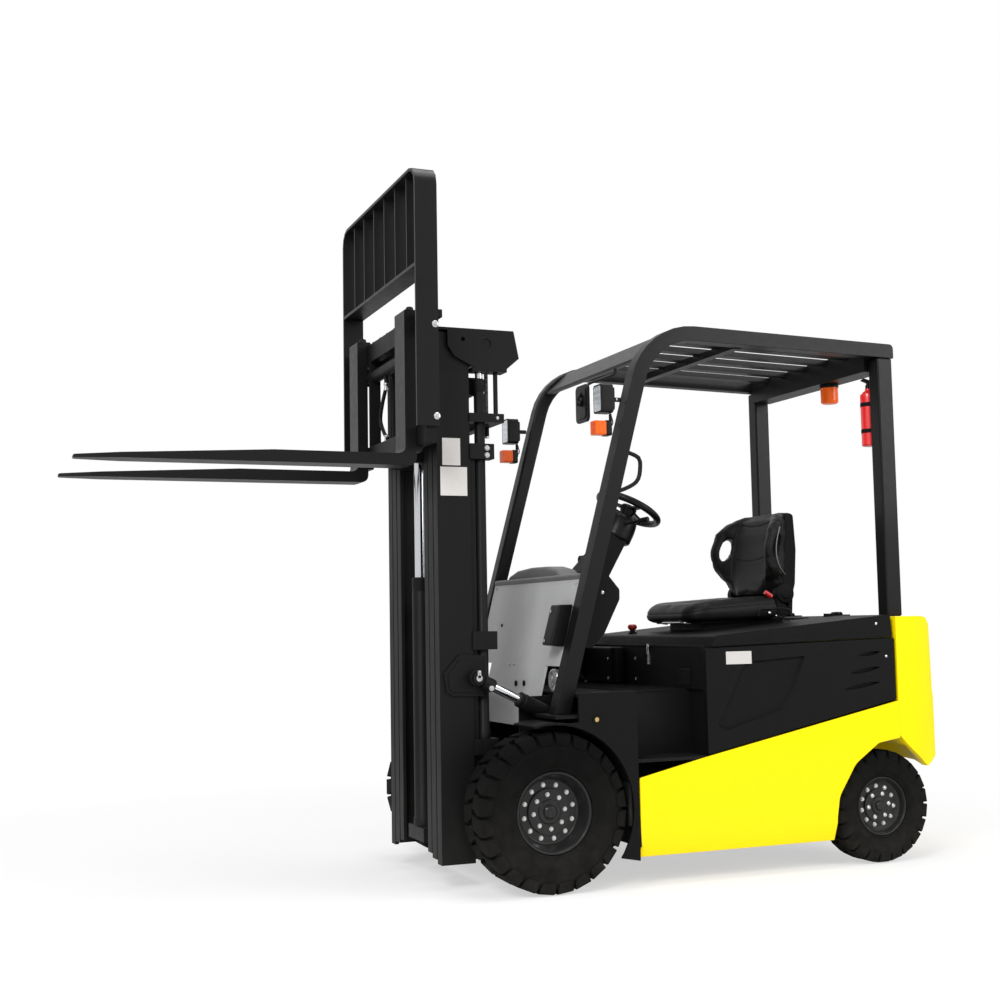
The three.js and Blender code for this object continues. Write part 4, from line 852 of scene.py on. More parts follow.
# %% Rounded copies
for material, edge, nodes in [
    (mast_paint, 0.0025, ("outer_mast", "middle_mast", "inner_mast")),
    (mast_paint, 0.002, ("carriage",)), (mast_paint, 0.0025, ("side_shift_frame",)),
    (black_paint, 0.0015, ("load_backrest",)), (black_paint, 0.004, ("fork_left", "fork_right")),
    (black_paint, 0.011, ("guard_side_left", "guard_side_right")),
    (black_paint, 0.008, ("guard_rear_post_left", "guard_rear_post_right")),
    (black_paint, 0.0025, ("roof_grille",)),
    (yellow_paint, 0.003, ("side_skirt_left", "side_skirt_right")),
    (black_plastic, 0.003, ("front_fender_left", "front_fender_right")),
    (grey_panel, 0.0012, ("front_panel",)), (black_plastic, 0.007, ("dash_cowl",)),
    (black_plastic, 0.005, ("cab_cover",)), (frame_paint, 0.0015, ("chassis_frame",)),
    (cast_iron, 0.004, ("front_axle", "steer_axle")),
    (cast_iron, 0.002, ("steer_knuckle_left", "steer_knuckle_right")),
    (battery_steel, 0.003, ("battery_pack",)),
]:
    for node in nodes:
        rounded_copy(node, material, edge)
print("rounded copies made")

# %% [markdown]
# The seat stands on a narrow plinth, so the hood is cut back under the cushion, down to a floor
# that slopes as the hood does. The yellow casting leaves its hinge lugs to black pieces.

# %% Hood and counterweight
HOOD_TOP, HOOD_SLOPE = 0.9385, 0.08602
cutter = bmesh.new()
plan = [(-0.81, -0.23), (-0.81, 0.23), (-1.3, 0.23), (-1.3, 0.15), (-0.9, 0.15), (-0.9, -0.15),
        (-1.3, -0.15), (-1.3, -0.23)]
slab(cutter, [(AXLE_X + x, y) for x, y in plan], "z", 0, 1)
for vertex in cutter.verts:
    vertex.co.z = 1.04 if vertex.co.z > 0.5 else HOOD_TOP + HOOD_SLOPE * (AXLE_X - 0.7
                                                                          - vertex.co.x)
rounded_copy("hood", black_plastic, 0.006, cut=cutter)
cutter = bmesh.new()
for low, high in ((0.15, 0.22), (-0.22, -0.15)):
    block(cutter, (AXLE_X - 1.61, low, 1.0022), (AXLE_X - 1.5, high, 1.06))
rounded_copy("counterweight", yellow_casting, 0.009, cut=cutter)
shape = bmesh.new()
for sign in (1, -1):
    rod(shape, 0.006, 0.154 * sign, 0.216 * sign, mm(-1549, 0, 1014), "y", 24)
    for near, far in ((0.154, 0.171), (0.199, 0.216)):
        rod(shape, 0.0105, near * sign, far * sign, mm(-1549, 0, 1014), "y", 28)
        low, high = sorted((1000 * near * sign, 1000 * far * sign))
        block(shape, mm(-1598, low, 1002.4), mm(-1551, high, 1013))
settle("hood_hinge_lugs", shape, black_paint, "chassis", edge=0.0012)


# %% [markdown]
# ## Cylinders
# The lift, free-lift and tilt cylinders are turned parts, so each is one fine profile: a painted
# barrel with a screwed gland, and a chromed rod that slides in it.

# %% Lift cylinders
def barrel_profile(radius, low, high, bore):
    return [(0, low), (radius + 0.003, low), (radius + 0.003, low + 0.03), (radius, low + 0.034),
            (radius, high - 0.06), (radius - 0.0015, high - 0.058), (radius - 0.0015, high - 0.052),
            (radius, high - 0.05), (radius, high - 0.004), (radius - 0.004, high), (bore, high),
            (bore, low + 0.03), (0, low + 0.03)]


def lift_cylinder(side, _):
    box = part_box("lift_barrel_" + side)
    x, y = (box[0][0] + box[1][0]) / 2, (box[0][1] + box[1][1]) / 2
    radius = (box[1][0] - box[0][0]) / 2
    shape = bmesh.new()
    turned(shape, barrel_profile(radius - 0.003, box[0][2], box[1][2], 0.0155), (x, y, 0), "z", 40)
    settle("lift_cylinder_" + side, shape, mast_paint, "outer_stage", edge=0, angle=40,
           stands_for=("lift_barrel_" + side,))
    inner_floor = box[0][2] + 0.031
    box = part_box("lift_rod_" + side)
    shape = bmesh.new()
    foot = max(box[0][2], inner_floor)
    turned(shape, [(0, foot), (0.015, foot), (0.015, box[1][2]), (0, box[1][2])], (x, y, 0), "z",
           40)
    settle("lift_ram_" + side, shape, chrome, "middle_stage", edge=0,
           stands_for=("lift_rod_" + side,))


beside(lift_cylinder)
low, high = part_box("free_lift_barrel")
shape = bmesh.new()
turned(shape, barrel_profile(0.035, low[2], high[2], 0.0228), mm(318, 0, 0), "z", 48)
settle("free_lift_cylinder", shape, mast_paint, "inner_stage", edge=0, angle=40,
       stands_for=("free_lift_barrel",))

# %% [markdown]
# The free-lift rod carries a block with a pulley at each side, over which the carriage chains run.
# A sheave is a turned part, so one profile with a groove and a web gives it its true section.

# %% The crosshead on the free-lift rod, with its two chain sheaves
low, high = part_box("free_lift_rod")
shape = bmesh.new()
turned(shape, [(0, low[2]), (0.0225, low[2]), (0.0225, 1.9852), (0, 1.9852)], mm(318, 0, 0), "z",
       48)
settle("free_lift_ram", shape, chrome, "free_lift", edge=0, stands_for=("free_lift_rod",))
shape = bmesh.new()
block(shape, mm(295, -31, 1985.3), mm(341, 31, 2100))
rod(shape, 0.0145, -0.066, 0.066, mm(318, 0, 2060), "y", 24)
settle("crosshead", shape, mast_paint, "free_lift", edge=0.003)
SHEAVE = [(0, 0.012), (0.02, 0.012), (0.022, 0.009), (0.036, 0.009), (0.038, 0.012), (0.048, 0.012),
          (0.048, 0.0095), (0.0415, 0.008), (0.0415, -0.008), (0.048, -0.0095), (0.048, -0.012),
          (0.038, -0.012), (0.036, -0.009), (0.022, -0.009), (0.02, -0.012), (0, -0.012)]
for side, y in (("left", 46), ("right", -46)):
    shape = bmesh.new()
    turned(shape, SHEAVE, mm(318, y, 2060), "y", 40)
    settle("crosshead_sheave_" + side, shape, cast_iron, "free_lift", "mast_paint", edge=0.0006)

# %% [markdown]
# A tilt cylinder lies aslant between the chassis and the mast's ear. Its parts are turned along the
# line between the two pins, so they are made upright at the origin and laid along that line.

# %% Tilt cylinders
TILT_FOOT, TILT_PIN = (-150, 612), (215, 793)


def laid_along(shape, start, line):
    turn = Vector((0, 0, 1)).rotation_difference(line.normalized()).to_matrix().to_4x4()
    bmesh.ops.transform(shape, verts=shape.verts, matrix=Matrix.Translation(start) @ turn)


def eye(shape, centre, radius, bore, half):
    turned(shape, [(bore, -half), (radius - 0.002, -half), (radius, -half + 0.002),
                   (radius, half - 0.002), (radius - 0.002, half), (bore, half)], centre, "y", 40)


def tilt_cylinder(side, sign):
    foot, pin = mm(TILT_FOOT[0], 347 * sign, TILT_FOOT[1]), mm(TILT_PIN[0], 347 * sign, TILT_PIN[1])
    line = pin - foot
    shape = bmesh.new()
    turned(shape, [(0, 0.024), (0.024, 0.024), (0.03, 0.032), (0.03, 0.194), (0.0285, 0.196),
                   (0.0285, 0.2), (0.03, 0.202), (0.03, 0.215), (0.027, 0.218), (0.02, 0.218),
                   (0.02, 0.04), (0, 0.04)], (0, 0, 0), "z", 44)
    laid_along(shape, foot, line)
    settle("tilt_cylinder_body_" + side, shape, mast_paint, "tilt_cylinder_" + side, edge=0,
           angle=32, stands_for=("tilt_barrel_" + side,))
    shape = bmesh.new()
    eye(shape, foot, 0.028, 0.0155, 0.0198)
    settle("tilt_foot_eye_" + side, shape, mast_paint, "tilt_cylinder_" + side, edge=0)
    shape = bmesh.new()
    rod(shape, 0.019, 0.13, line.length - 0.052, (0, 0, 0), "z", 40)
    laid_along(shape, foot, line)
    settle("tilt_ram_" + side, shape, chrome, "tilt_piston_" + side, edge=0,
           stands_for=("tilt_rod_" + side,))
    shape = bmesh.new()
    eye(shape, pin, 0.031, 0.019, 0.0198)
    settle("tilt_head_eye_" + side, shape, mast_paint, "tilt_piston_" + side, edge=0)
    shape = bmesh.new()
    turned(shape, [(0, line.length - 0.078), (0.024, line.length - 0.078),
                   (0.026, line.length - 0.073), (0.026, line.length - 0.03),
                   (0, line.length - 0.03)], (0, 0, 0), "z", 40)
    laid_along(shape, foot, line)
    settle("tilt_clamp_" + side, shape, mast_paint, "tilt_piston_" + side, edge=0.001)
    at = foot + line.normalized() * (line.length - 0.058)
    spot = ((at.x - AXLE_X) * 1000, sign * (347 + 25), at.z * 1000 - 14)
    fasten("tilt_clamp_bolt_" + side, [spot], OUTWARD[sign], 17, "tilt_piston_" + side)
    shape = bmesh.new()
    rod(shape, 0.0125, 0, 0.004, mm(215, sign * 379, 793) - Vector((0, 0.002, 0)), "y", 24)
    block(shape, mm(208, sign * 379 - 2, 793), mm(222, sign * 379 + 2, 822))
    settle("tilt_pin_lock_" + side, shape, zinc, "outer_stage", edge=0.001)
    fasten("tilt_pin_bolt_" + side, [(215, sign * 380.5, 816)], OUTWARD[sign], 11, "outer_stage")


beside(tilt_cylinder)


# %% [markdown]
# ## Chains
# Leaf chains carry the carriage over the crosshead's sheaves and the inner mast over the sheaves at
# the middle mast's head. One link pack is modelled; a path tree sets copies along the run and over
# the sheave. A straight run ends on two bodies that slide apart, but here it is made once between
# its two heights and rides on neither.

# %% One link pack
CHAIN_PITCH = 0.019
shape = bmesh.new()
for plate, shift in ((-0.0055, 0.0), (-0.0018, 0.5), (0.0018, 0.0), (0.0055, 0.5)):
    corners = []
    for end in (-1, 1):
        for step in range(5):
            angle = math.pi / 2 * end + math.pi * (step / 4 - 0.5)
            corners.append((0.0058 * math.cos(angle),
                            end * CHAIN_PITCH * 0.5 + 0.0058 * math.sin(angle)
                            + shift * CHAIN_PITCH))
    slab(shape, corners, "y", plate - 0.0015, plate + 0.0015)
for shift in (0.0, 0.5):
    rod(shape, 0.0026, -0.0085, 0.0085,
           (0, 0, (shift + 0.5) * CHAIN_PITCH), "y", 8)
chain_link = tool_shape("chain_link", shape)


def chain(name, path, body):
    mesh = bpy.data.meshes.new(name)
    mesh.from_pydata([tuple(spot) for spot in path],
                     [(number, number + 1) for number in range(len(path) - 1)], [])
    length = sum((b - a).length for a, b in zip(path, path[1:]))
    return grow(name, path_tree, chain_steel, chain_link, body, source=mesh,
                Count=max(2, round(length / CHAIN_PITCH)))


def over_sheave(centre, radius, steps=14):
    """Half a turn over the top of a sheave, from its rear to its front."""
    return [centre + Vector((-radius * math.cos(math.pi * step / steps), 0,
                             radius * math.sin(math.pi * step / steps)))
            for step in range(steps + 1)]


# %% [markdown]
# Two chains run near the mast's middle and two beside its channels. Each is two straight runs and a
# half turn over its sheave, because a run has to stretch between two bodies and the turn has not.

# %% Carriage chains and inner-mast chains
WRAP = 0.0475


def chain_run(name, x, y, foot, head):
    """A straight run between two heights; foot and head are each a height and a body, and the body is not used."""
    start, end = mm(x, y, foot[0]), mm(x, y, head[0])
    run = chain(name, [start, end], None)
    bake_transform(run)


for side, sign in SIDES:
    inner, outer = 46 * sign, 180 * sign
    chain("carriage_chain_top_" + side, over_sheave(mm(318, inner, 2060), WRAP + 0.0005),
          "free_lift")
    chain_run("carriage_chain_front_" + side, 366, inner, (1752, "carriage_base"),
              (2058, "free_lift"))
    chain_run("carriage_chain_back_" + side, 270, inner, (1095, "inner_stage"), (2058, "free_lift"))
    chain("mast_chain_top_" + side, over_sheave(mm(145, outer, 2095), WRAP + 0.0065),
          "middle_stage")
    chain_run("mast_chain_rear_" + side, 91, outer, (1822, "outer_stage"), (2093, "middle_stage"))
    chain_run("mast_chain_front_" + side, 199, outer, (178, "inner_stage"), (2093, "middle_stage"))

# %% [markdown]
# ## Hoses on the side shifter and the mast
# The side shifter's hose leaves the port under its tube, hangs in a loop and goes back into the
# lower fork bar. It is held at both ends, so it is one smooth pipe with a crimped ferrule at each
# end.

# %% Side shift hose and tube ends
def ferrule(shape, centre, radius, low, high):
    waist = radius * 0.86
    turned(shape, [(0, low), (radius, low), (radius, low + 0.006), (waist, low + 0.008),
                   (waist, high - 0.008), (radius, high - 0.006), (radius, high), (0, high)],
           centre, "z", 20)


HOSE_ROUTE = [(430, -80, 1996), (430, -80, 1978), (434, -122, 1912), (434, -150, 1847),
              (430, -110, 1787), (430, -80, 1770), (430, -80, 1747)]


shape = bmesh.new()
pipe(shape, smoothed([mm(*spot) for spot in HOSE_ROUTE], 8), 0.0078, 16)
settle("side_shift_hose_loop", shape, hose_rubber, "side_shifter", edge=0,
       stands_for=("side_shift_hose",))
shape = bmesh.new()
ferrule(shape, mm(430, -80, 0), 0.0105, 1.962, 1.992)
ferrule(shape, mm(430, -80, 0), 0.0105, 1.748, 1.776)
settle("side_shift_hose_ferrules", shape, zinc, "side_shifter", edge=0)
shape = bmesh.new()
for sign in (1, -1):
    low, high = sorted((0.232 * sign, 0.252 * sign))
    turned(shape, [(0.0125, low), (0.03, low), (0.03, high), (0.0125, high)], mm(430, 0, 2045), "y",
           32)
settle("side_shift_glands", shape, cast_iron, "side_shifter", "mast_paint", edge=0.0015)

# %% [markdown]
# Steel pipe and rubber hose take oil to the lift cylinders. A round section swept along a path with
# rounded corners shows them well, and keeps the bends as wide as a real hose allows.

# %% Pipes at the mast's rear
def mast_pipe(side, sign):
    shape = bmesh.new()
    pipe(shape, [mm(101, 306 * sign, 1821), mm(101, 306 * sign, 1990)], 0.009, 16)
    settle("mast_pipe_" + side, shape, mast_paint, "outer_stage", edge=0)
    shape = bmesh.new()
    path = [(165, 265, 585), (165, 231, 585), (115, 216, 565), (105, 181, 465), (105, 91, 445)]
    pipe(shape, rounded_path([mm(x, y * sign, z) for x, y, z in path], 0.03), 0.007, 14)
    settle("lift_hose_" + side, shape, hose_rubber, "outer_stage", edge=0)


beside(mast_pipe)

# %% [markdown]
# ## Fasteners and plates on the mast
# Bright bolts hold the load backrest to the fork bars and the cylinder clamps to the mast.
# Two thin plates sit on the left channel; they are blank.

# %% Mast fasteners
def mast_bolts(side, sign):
    facing = OUTWARD[sign]
    fasten("backrest_bolts_" + side, [(418, 504 * sign, 2120), (415, 504 * sign, 1772)], facing, 27,
           "side_shifter", dome_screw)
    fasten("clamp_bolts_" + side, [(146, 322 * sign, 1683), (146, 322 * sign, 1655)], facing, 17,
           "outer_stage")
    fasten("anchor_nuts_" + side, [(90, 180 * sign, 1748)], "-z", 17, "outer_stage")
    fasten("ear_bolts_" + side, [(100, 322 * sign, 1803)], facing, 11, "outer_stage")
    shape = bmesh.new()
    for z in (530, 935):
        block(shape, mm(120, 315 * sign - 6, z - 26), mm(177, 315 * sign + 8, z + 26))
    settle("cylinder_clamps_" + side, shape, mast_paint, "outer_stage", edge=0.004)
    shape = bmesh.new()
    slab(shape,
         mm_outline([(322, 806), (276, 862), (196, 858), (197, 736), (300, 740), (316, 752)]), "y",
         sign * 0.3238, sign * 0.3285)
    settle("ear_doubler_" + side, shape, mast_paint, "outer_stage", edge=0.002)


beside(mast_bolts)
shape = bmesh.new()
for low, high in (((256, 1612), (330, 1718)), ((229, 1494), (339, 1606))):
    block(shape, mm(low[0], 315.05, low[1]), mm(high[0], 316, high[1]))
settle("blank_mast_plates", shape, white_plate, "outer_stage", edge=0.0004)

# %% [markdown]
# Forks hang from the upper bar by hooks, and a spring pin in each drops into a notch of the bar.
# Only the tops of the pins and the notches show, so those are all that is made.

# %% Fork hooks with their locking pins
def fork_lock(side, sign):
    y = 321 * sign
    shape = bmesh.new()
    block(shape, mm(440, y - 20, 2180.5), mm(476, y + 20, 2191))
    turned(shape, [(0, 2.19), (0.009, 2.19), (0.009, 2.2), (0.015, 2.204), (0.015, 2.216),
                   (0.011, 2.221), (0, 2.221)], mm(458, y, 0), "z", 20)
    settle("fork_lock_" + side, shape, black_paint, "side_shifter", edge=0.0015)


beside(fork_lock)
shape = bmesh.new()
for number in range(9):
    y = -380 + 95 * number
    block(shape, mm(392, y - 6, 2180.2), mm(452, y + 6, 2184.5))
settle("fork_bar_notches", shape, mast_paint, "side_shifter", edge=0.001)

# %% [markdown]
# ## Side panels
# Each panel is a deep moulding. A shallow field with sloping walls is pressed into its middle and
# three leaf-shaped louvres are cut near its rear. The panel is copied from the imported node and
# carved.

# %% Carved side panels
def tapered(shape, corners, y_outer, y_inner, shrink):
    """A cutter whose floor is a little smaller than its mouth."""
    centre = Vector((sum(x for x, _ in corners) / len(corners),
                     sum(z for _, z in corners) / len(corners)))
    mouth = [shape.verts.new((x, y_outer, z)) for x, z in corners]
    floor_ring = []
    for x, z in corners:
        inward = centre - Vector((x, z))
        spot = Vector((x, z)) + inward.normalized() * min(shrink, inward.length)
        floor_ring.append(shape.verts.new((spot.x, y_inner, spot.y)))
    shape.faces.new(mouth)
    shape.faces.new(floor_ring)
    bridge(shape, mouth, floor_ring)


def leaf(start, end, width):
    """A long leaf between two points, as a louvre's outline."""
    line = Vector(end) - Vector(start)
    normal = Vector((-line.y, line.x)).normalized()
    spots = []
    for side in (1, -1):
        for step in range(8):
            share = step / 8 if side > 0 else 1 - step / 8
            bulge = width / 2 * math.sin(math.pi * share) ** 0.7 if 0 < share < 1 else 0
            spots.append(tuple(Vector(start) + line * share + normal * side * bulge))
    return spots


PANEL_FACE = 0.578
FIELD = [(-833, 833), (-1113, 849), (-1060, 715), (-1001, 638), (-740, 566), (-700, 588)]
LOUVRES = [((-1368, 843), (-1478, 857)), ((-1324, 771), (-1476, 795)), ((-1292, 708), (-1473, 734))]


def side_panel(side, sign):
    cutter = bmesh.new()
    face = PANEL_FACE * sign
    tapered(cutter, mm_outline(FIELD), face + 0.001 * sign, face - 0.012 * sign, 0.011)
    for start, end in LOUVRES:
        tapered(cutter, mm_outline(leaf(start, end, 17)), face + 0.001 * sign, face - 0.014 * sign,
                0.003)
    rounded_copy("side_panel_" + side, black_plastic, 0.004, cut=cutter)
    fasten("panel_screws_" + side, [(-1506, face * 1000, 838)], OUTWARD[sign], 11, "chassis",
           dome_screw)


beside(side_panel)
shape = bmesh.new()
block(shape, mm(-861, 578, 824), mm(-745, 579.2, 874))
settle("blank_side_plate", shape, white_plate, "chassis", edge=0.0004)

# %% [markdown]
# A dark line parts the hood from the side panels. It is a thin rubber strip rather than a painted
# line, so that it catches shadow. The ribs behind the seat stiffen the sheet on the real hood.

# %% Hood seam, trim and screws
shape = bmesh.new()
for sign in (1, -1):
    slab(shape, mm_outline([(-640, 890.5), (-640, 893.8), (-1542, 914.8), (-1542, 911.5)]), "y",
         0.5655 * sign, 0.5675 * sign)
settle("hood_seal", shape, mat_rubber, "chassis", edge=0)
fasten("hood_screws", [(-1466, 572 * sign, 972) for sign in (1, -1)], ["+y", "-y"], 12,
       "hood_and_seat", dome_screw)
shape = bmesh.new()
for number in range(5):
    x = -1300 - 32 * number
    block(shape, mm(x, -150, 986 - 0.086 * (x + 1300)), mm(x + 14, 150, 991.6 - 0.086 * (x + 1300)))
settle("hood_ribs", shape, black_plastic, "hood_and_seat", edge=0.002)

# %% [markdown]
# ## Lamps, mirror, beacon and extinguisher
# The head lamp is a bezelled box with a matrix of small light sources behind its lens, above an
# amber signal. Each source is the same little dome, so a row of copies makes each line of them.

# %% Head lamps
shape = bmesh.new()
turned(shape, [(0, 0), (0.0075, 0), (0.0065, 0.0022), (0.004, 0.0036), (0, 0.004)], (0, 0, 0), "x",
       14)
led = tool_shape("led_dome", shape)


def rounded_face(low, high, radius, steps=5):
    """A rounded rectangle's outline between two corners of a plane."""
    spots = []
    for cx, cz, start in ((high[0] - radius, high[1] - radius, 0),
                          (low[0] + radius, high[1] - radius, 90),
                          (low[0] + radius, low[1] + radius, 180),
                          (high[0] - radius, low[1] + radius, 270)):
        for step in range(steps + 1):
            angle = math.radians(start + 90 * step / steps)
            spots.append((cx + radius * math.cos(angle), cz + radius * math.sin(angle)))
    return spots


def head_lamp(side, sign):
    low, high = sorted((0.446 * sign, 0.519 * sign))
    back, front = AXLE_X - 0.323, AXLE_X - 0.258
    shape = bmesh.new()
    outline = rounded_face((low, 1.813), (high, 1.926), 0.012)
    slab(shape, outline, "x", back + 0.012, front - 0.006)
    slab(shape, rounded_face((low + 0.012, 1.825), (high - 0.012, 1.914), 0.012), "x", back,
         back + 0.013)
    slab(shape, outline, "x", front - 0.0055, front)
    for number in range(6):
        z = 1.835 + 0.0145 * number
        block(shape, (back + 0.004, low + 0.004, z), (back + 0.03, high - 0.004, z + 0.005))
    settle("lamp_body_" + side, shape, smooth_plastic, "chassis", edge=0.0015,
           stands_for=("head_lamp_" + side,))
    shape = bmesh.new()
    slab(shape, rounded_face((low + 0.007, 1.82), (high - 0.007, 1.919), 0.009), "x", front - 0.003,
         front + 0.0006)
    settle("lamp_lens_" + side, shape, lens, "chassis", edge=0.001)
    for row in range(4):
        start = (front - 0.002, low + 0.0165, 1.8345 + 0.0235 * row)
        grow(f"lamp_sources_{side}_{row}", row_tree, lens, led, "chassis", Count=3, Start=start,
             Step=(0, 0.02, 0))
    low, high = sorted((0.453 * sign, 0.507 * sign))
    shape = bmesh.new()
    slab(shape, rounded_face((low, 1.7245), (high, 1.7845), 0.008), "x", AXLE_X - 0.308,
         AXLE_X - 0.285)
    settle("signal_base_" + side, shape, smooth_plastic, "chassis", edge=0.0012)
    shape = bmesh.new()
    slab(shape, rounded_face((low + 0.002, 1.7265), (high - 0.002, 1.7825), 0.008), "x",
         AXLE_X - 0.2848, AXLE_X - 0.238)
    for number in range(7):
        z = 1.731 + 0.0075 * number
        block(shape, (AXLE_X - 0.239, low + 0.006, z), (AXLE_X - 0.2362, high - 0.006, z + 0.0035))
    settle("signal_lens_" + side, shape, amber, "chassis", edge=0.0015)
    shape = bmesh.new()
    y = 0.48 * sign
    pipe(shape, [(AXLE_X - 0.314, y, 1.755), (AXLE_X - 0.314, y, 1.8125)], 0.006, 12)
    block(shape, (AXLE_X - 0.36, y - 0.008, 1.862), (AXLE_X - 0.322, y + 0.008, 1.878))
    pipe(shape,
         rounded_path([(AXLE_X - 0.316, y - 0.018, 1.84), (AXLE_X - 0.33, y - 0.018, 1.8),
                       (AXLE_X - 0.335, y - 0.016, 1.775), (AXLE_X - 0.309, y - 0.012, 1.758)],
                      0.02), 0.0025, 8)
    settle("lamp_bracket_" + side, shape, black_paint, "chassis", edge=0.001)
    fasten("lamp_screws_" + side, [(-340, sign * 488.5, 1870)], OUTWARD[sign], 9, "chassis",
           dome_screw)


beside(head_lamp)

# %% [markdown]
# The mirror is a shallow shell with glass on the driver's side, held by a ball on a bent stalk.

# %% Mirror
shape = bmesh.new()
slab(shape, rounded_face((0.182, 1.811), (0.298, 1.966), 0.022), "x", AXLE_X - 0.3155,
     AXLE_X - 0.304)
slab(shape, rounded_face((0.196, 1.825), (0.284, 1.952), 0.018), "x", AXLE_X - 0.3045, AXLE_X - 0.3)
settle("mirror_shell", shape, smooth_plastic, "chassis", edge=0.003, stands_for=("mirror",))
shape = bmesh.new()
slab(shape, rounded_face((0.188, 1.817), (0.292, 1.96), 0.018), "x", AXLE_X - 0.3175,
     AXLE_X - 0.3152)
settle("mirror_face", shape, mirror_glass, "chassis", edge=0.0006)
shape = bmesh.new()
pipe(shape,
     rounded_path([mm(-298, 240, 1893), mm(-286, 240, 1908), mm(-330, 240, 1972),
                   mm(-440, 240, 2012), mm(-462, 240, 2020), mm(-462, 240, 2039)], 0.03), 0.006, 14)
turned(shape, [(0, -0.013), (0.009, -0.009), (0.013, 0), (0.009, 0.009), (0, 0.013)],
       mm(-294, 240, 1889), "x", 20)
settle("mirror_stalk", shape, black_paint, "chassis", edge=0.0005)

# %% [markdown]
# A flashing beacon is a black foot under an amber dome with fine rings that spread its light. The
# rings are part of the turned profile, because relief in the material would leave its outline
# smooth.

# %% Beacon
low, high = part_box("beacon")
middle = Vector(((low[0] + high[0]) / 2, (low[1] + high[1]) / 2, 0))
shape = bmesh.new()
turned(shape, [(0, high[2] - 0.014), (0.0415, high[2] - 0.014), (0.0415, high[2] - 0.001),
               (0, high[2] - 0.001)], middle, "z", 48)
settle("beacon_base", shape, smooth_plastic, "chassis", edge=0.001)
profile = [(0, low[2] + 0.001), (0.03, low[2] + 0.002), (0.037, low[2] + 0.006)]
for number in range(9):
    z = low[2] + 0.01 + 0.0068 * number
    profile += [(0.0385, z), (0.0398, z + 0.0034)]
profile += [(0.0395, high[2] - 0.0145), (0, high[2] - 0.0145)]
shape = bmesh.new()
turned(shape, profile, middle, "z", 56)
settle("beacon_lens", shape, amber, "chassis", edge=0, angle=60, stands_for=("beacon",))

# %% [markdown]
# The bottle is a turned, drawn cylinder with a soft shoulder. Valve, grip and hose are simple
# shapes above it, and two straps hold it to the guard's rear post.

# %% Fire extinguisher
low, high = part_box("fire_extinguisher")
middle = Vector((low[0] + 0.035, 0.403, 0))
shape = bmesh.new()
turned(shape,
       smoothed([(0, 1.7335), (0.026, 1.7335), (0.034, 1.74), (0.0346, 1.76), (0.0346, 1.94),
                 (0.031, 1.958), (0.02, 1.972), (0.013, 1.976), (0.0125, 1.985), (0, 1.985)]),
       middle, "z", 48)
settle("extinguisher_bottle", shape, red_paint, "chassis", edge=0, angle=45,
       stands_for=("fire_extinguisher",))
shape = bmesh.new()
turned(shape,
       [(0, 1.9855), (0.011, 1.9855), (0.011, 2.0), (0.007, 2.003), (0.007, 2.012), (0, 2.012)],
       middle, "z", 24)
for lever in ([(-0.012, 2.004), (-0.012, 2.012), (0.03, 2.024), (0.034, 2.018)],
              [(-0.012, 2.014), (-0.012, 2.021), (0.022, 2.029), (0.028, 2.027)]):
    slab(shape, [(x + middle.x, z) for x, z in lever], "y", 0.396, 0.41)
pipe(shape,
     rounded_path([(middle.x, 0.394, 1.995), (middle.x - 0.01, 0.378, 1.99),
                   (middle.x - 0.022, 0.371, 1.95), (middle.x - 0.02, 0.3705, 1.83)], 0.02), 0.0045,
     12)
settle("extinguisher_valve", shape, smooth_plastic, "chassis", edge=0.0008)
shape = bmesh.new()
for z in (1.79, 1.905):
    turned(shape, [(0.0347, z), (0.0354, z), (0.0354, z + 0.018), (0.0347, z + 0.018)], middle, "z",
           48)
block(shape, (middle.x - 0.018, 0.437, 1.78), (middle.x + 0.018, 0.4486, 1.93))
settle("extinguisher_straps", shape, cast_iron, "chassis", "black_paint", edge=0.0004)

# %% [markdown]
# ## Steering wheel and controls
# The wheel is a moulded ring with three spokes. It is made flat at the origin and tipped to the
# column's angle, and so are the column's shroud and stalks.

# %% Steering wheel
COLUMN_TILT, WHEEL_RADIUS = math.radians(28), 0.1345
at_wheel = Matrix.Translation(mm(-630, 0, 1481)) @ Matrix.Rotation(-COLUMN_TILT, 4, "Y")
shape = bmesh.new()
pipe(shape,
     [(WHEEL_RADIUS * math.cos(2 * math.pi * step / 64),
       WHEEL_RADIUS * math.sin(2 * math.pi * step / 64), 0) for step in range(64)], 0.0152, 18,
     closed=True)
for angle in (90, 210, 330):
    start = len(shape.verts)
    slab(shape, [(0.02, -0.017), (0.06, -0.012), (0.136, -0.009), (0.136, 0.009), (0.06, 0.012),
                 (0.02, 0.017)], "z", -0.006, 0.0045)
    shape.verts.ensure_lookup_table()
    bmesh.ops.rotate(shape, verts=shape.verts[start:], cent=(0, 0, 0),
                     matrix=Matrix.Rotation(math.radians(angle), 3, "Z"))
turned(shape, [(0, -0.036), (0.025, -0.036), (0.03, -0.02), (0.036, -0.004), (0.036, 0.006),
               (0.03, 0.0125), (0, 0.0128)], (0, 0, 0), "z", 40)
bmesh.ops.transform(shape, verts=shape.verts, matrix=at_wheel)
settle("steering_ring", shape, smooth_plastic, "steering", edge=0.002,
       stands_for=("steering_wheel",))
shape = bmesh.new()
turned(shape, [(0, 0.0125), (0.02, 0.0125), (0.02, 0.0135), (0.012, 0.0145), (0, 0.0145)],
       (0, 0, 0), "z", 32)
bmesh.ops.transform(shape, verts=shape.verts, matrix=at_wheel)
settle("horn_pad", shape, black_plastic, "steering", edge=0.0008)

# %% [markdown]
# A moulded shroud covers the steering column, with a stalk on each side for direction and signals.
# The hydraulic levers end in turned knobs. All are small, so each is one plain profile or pipe. The
# dash behind them has a low grey hump, a rounded front edge and a small display.

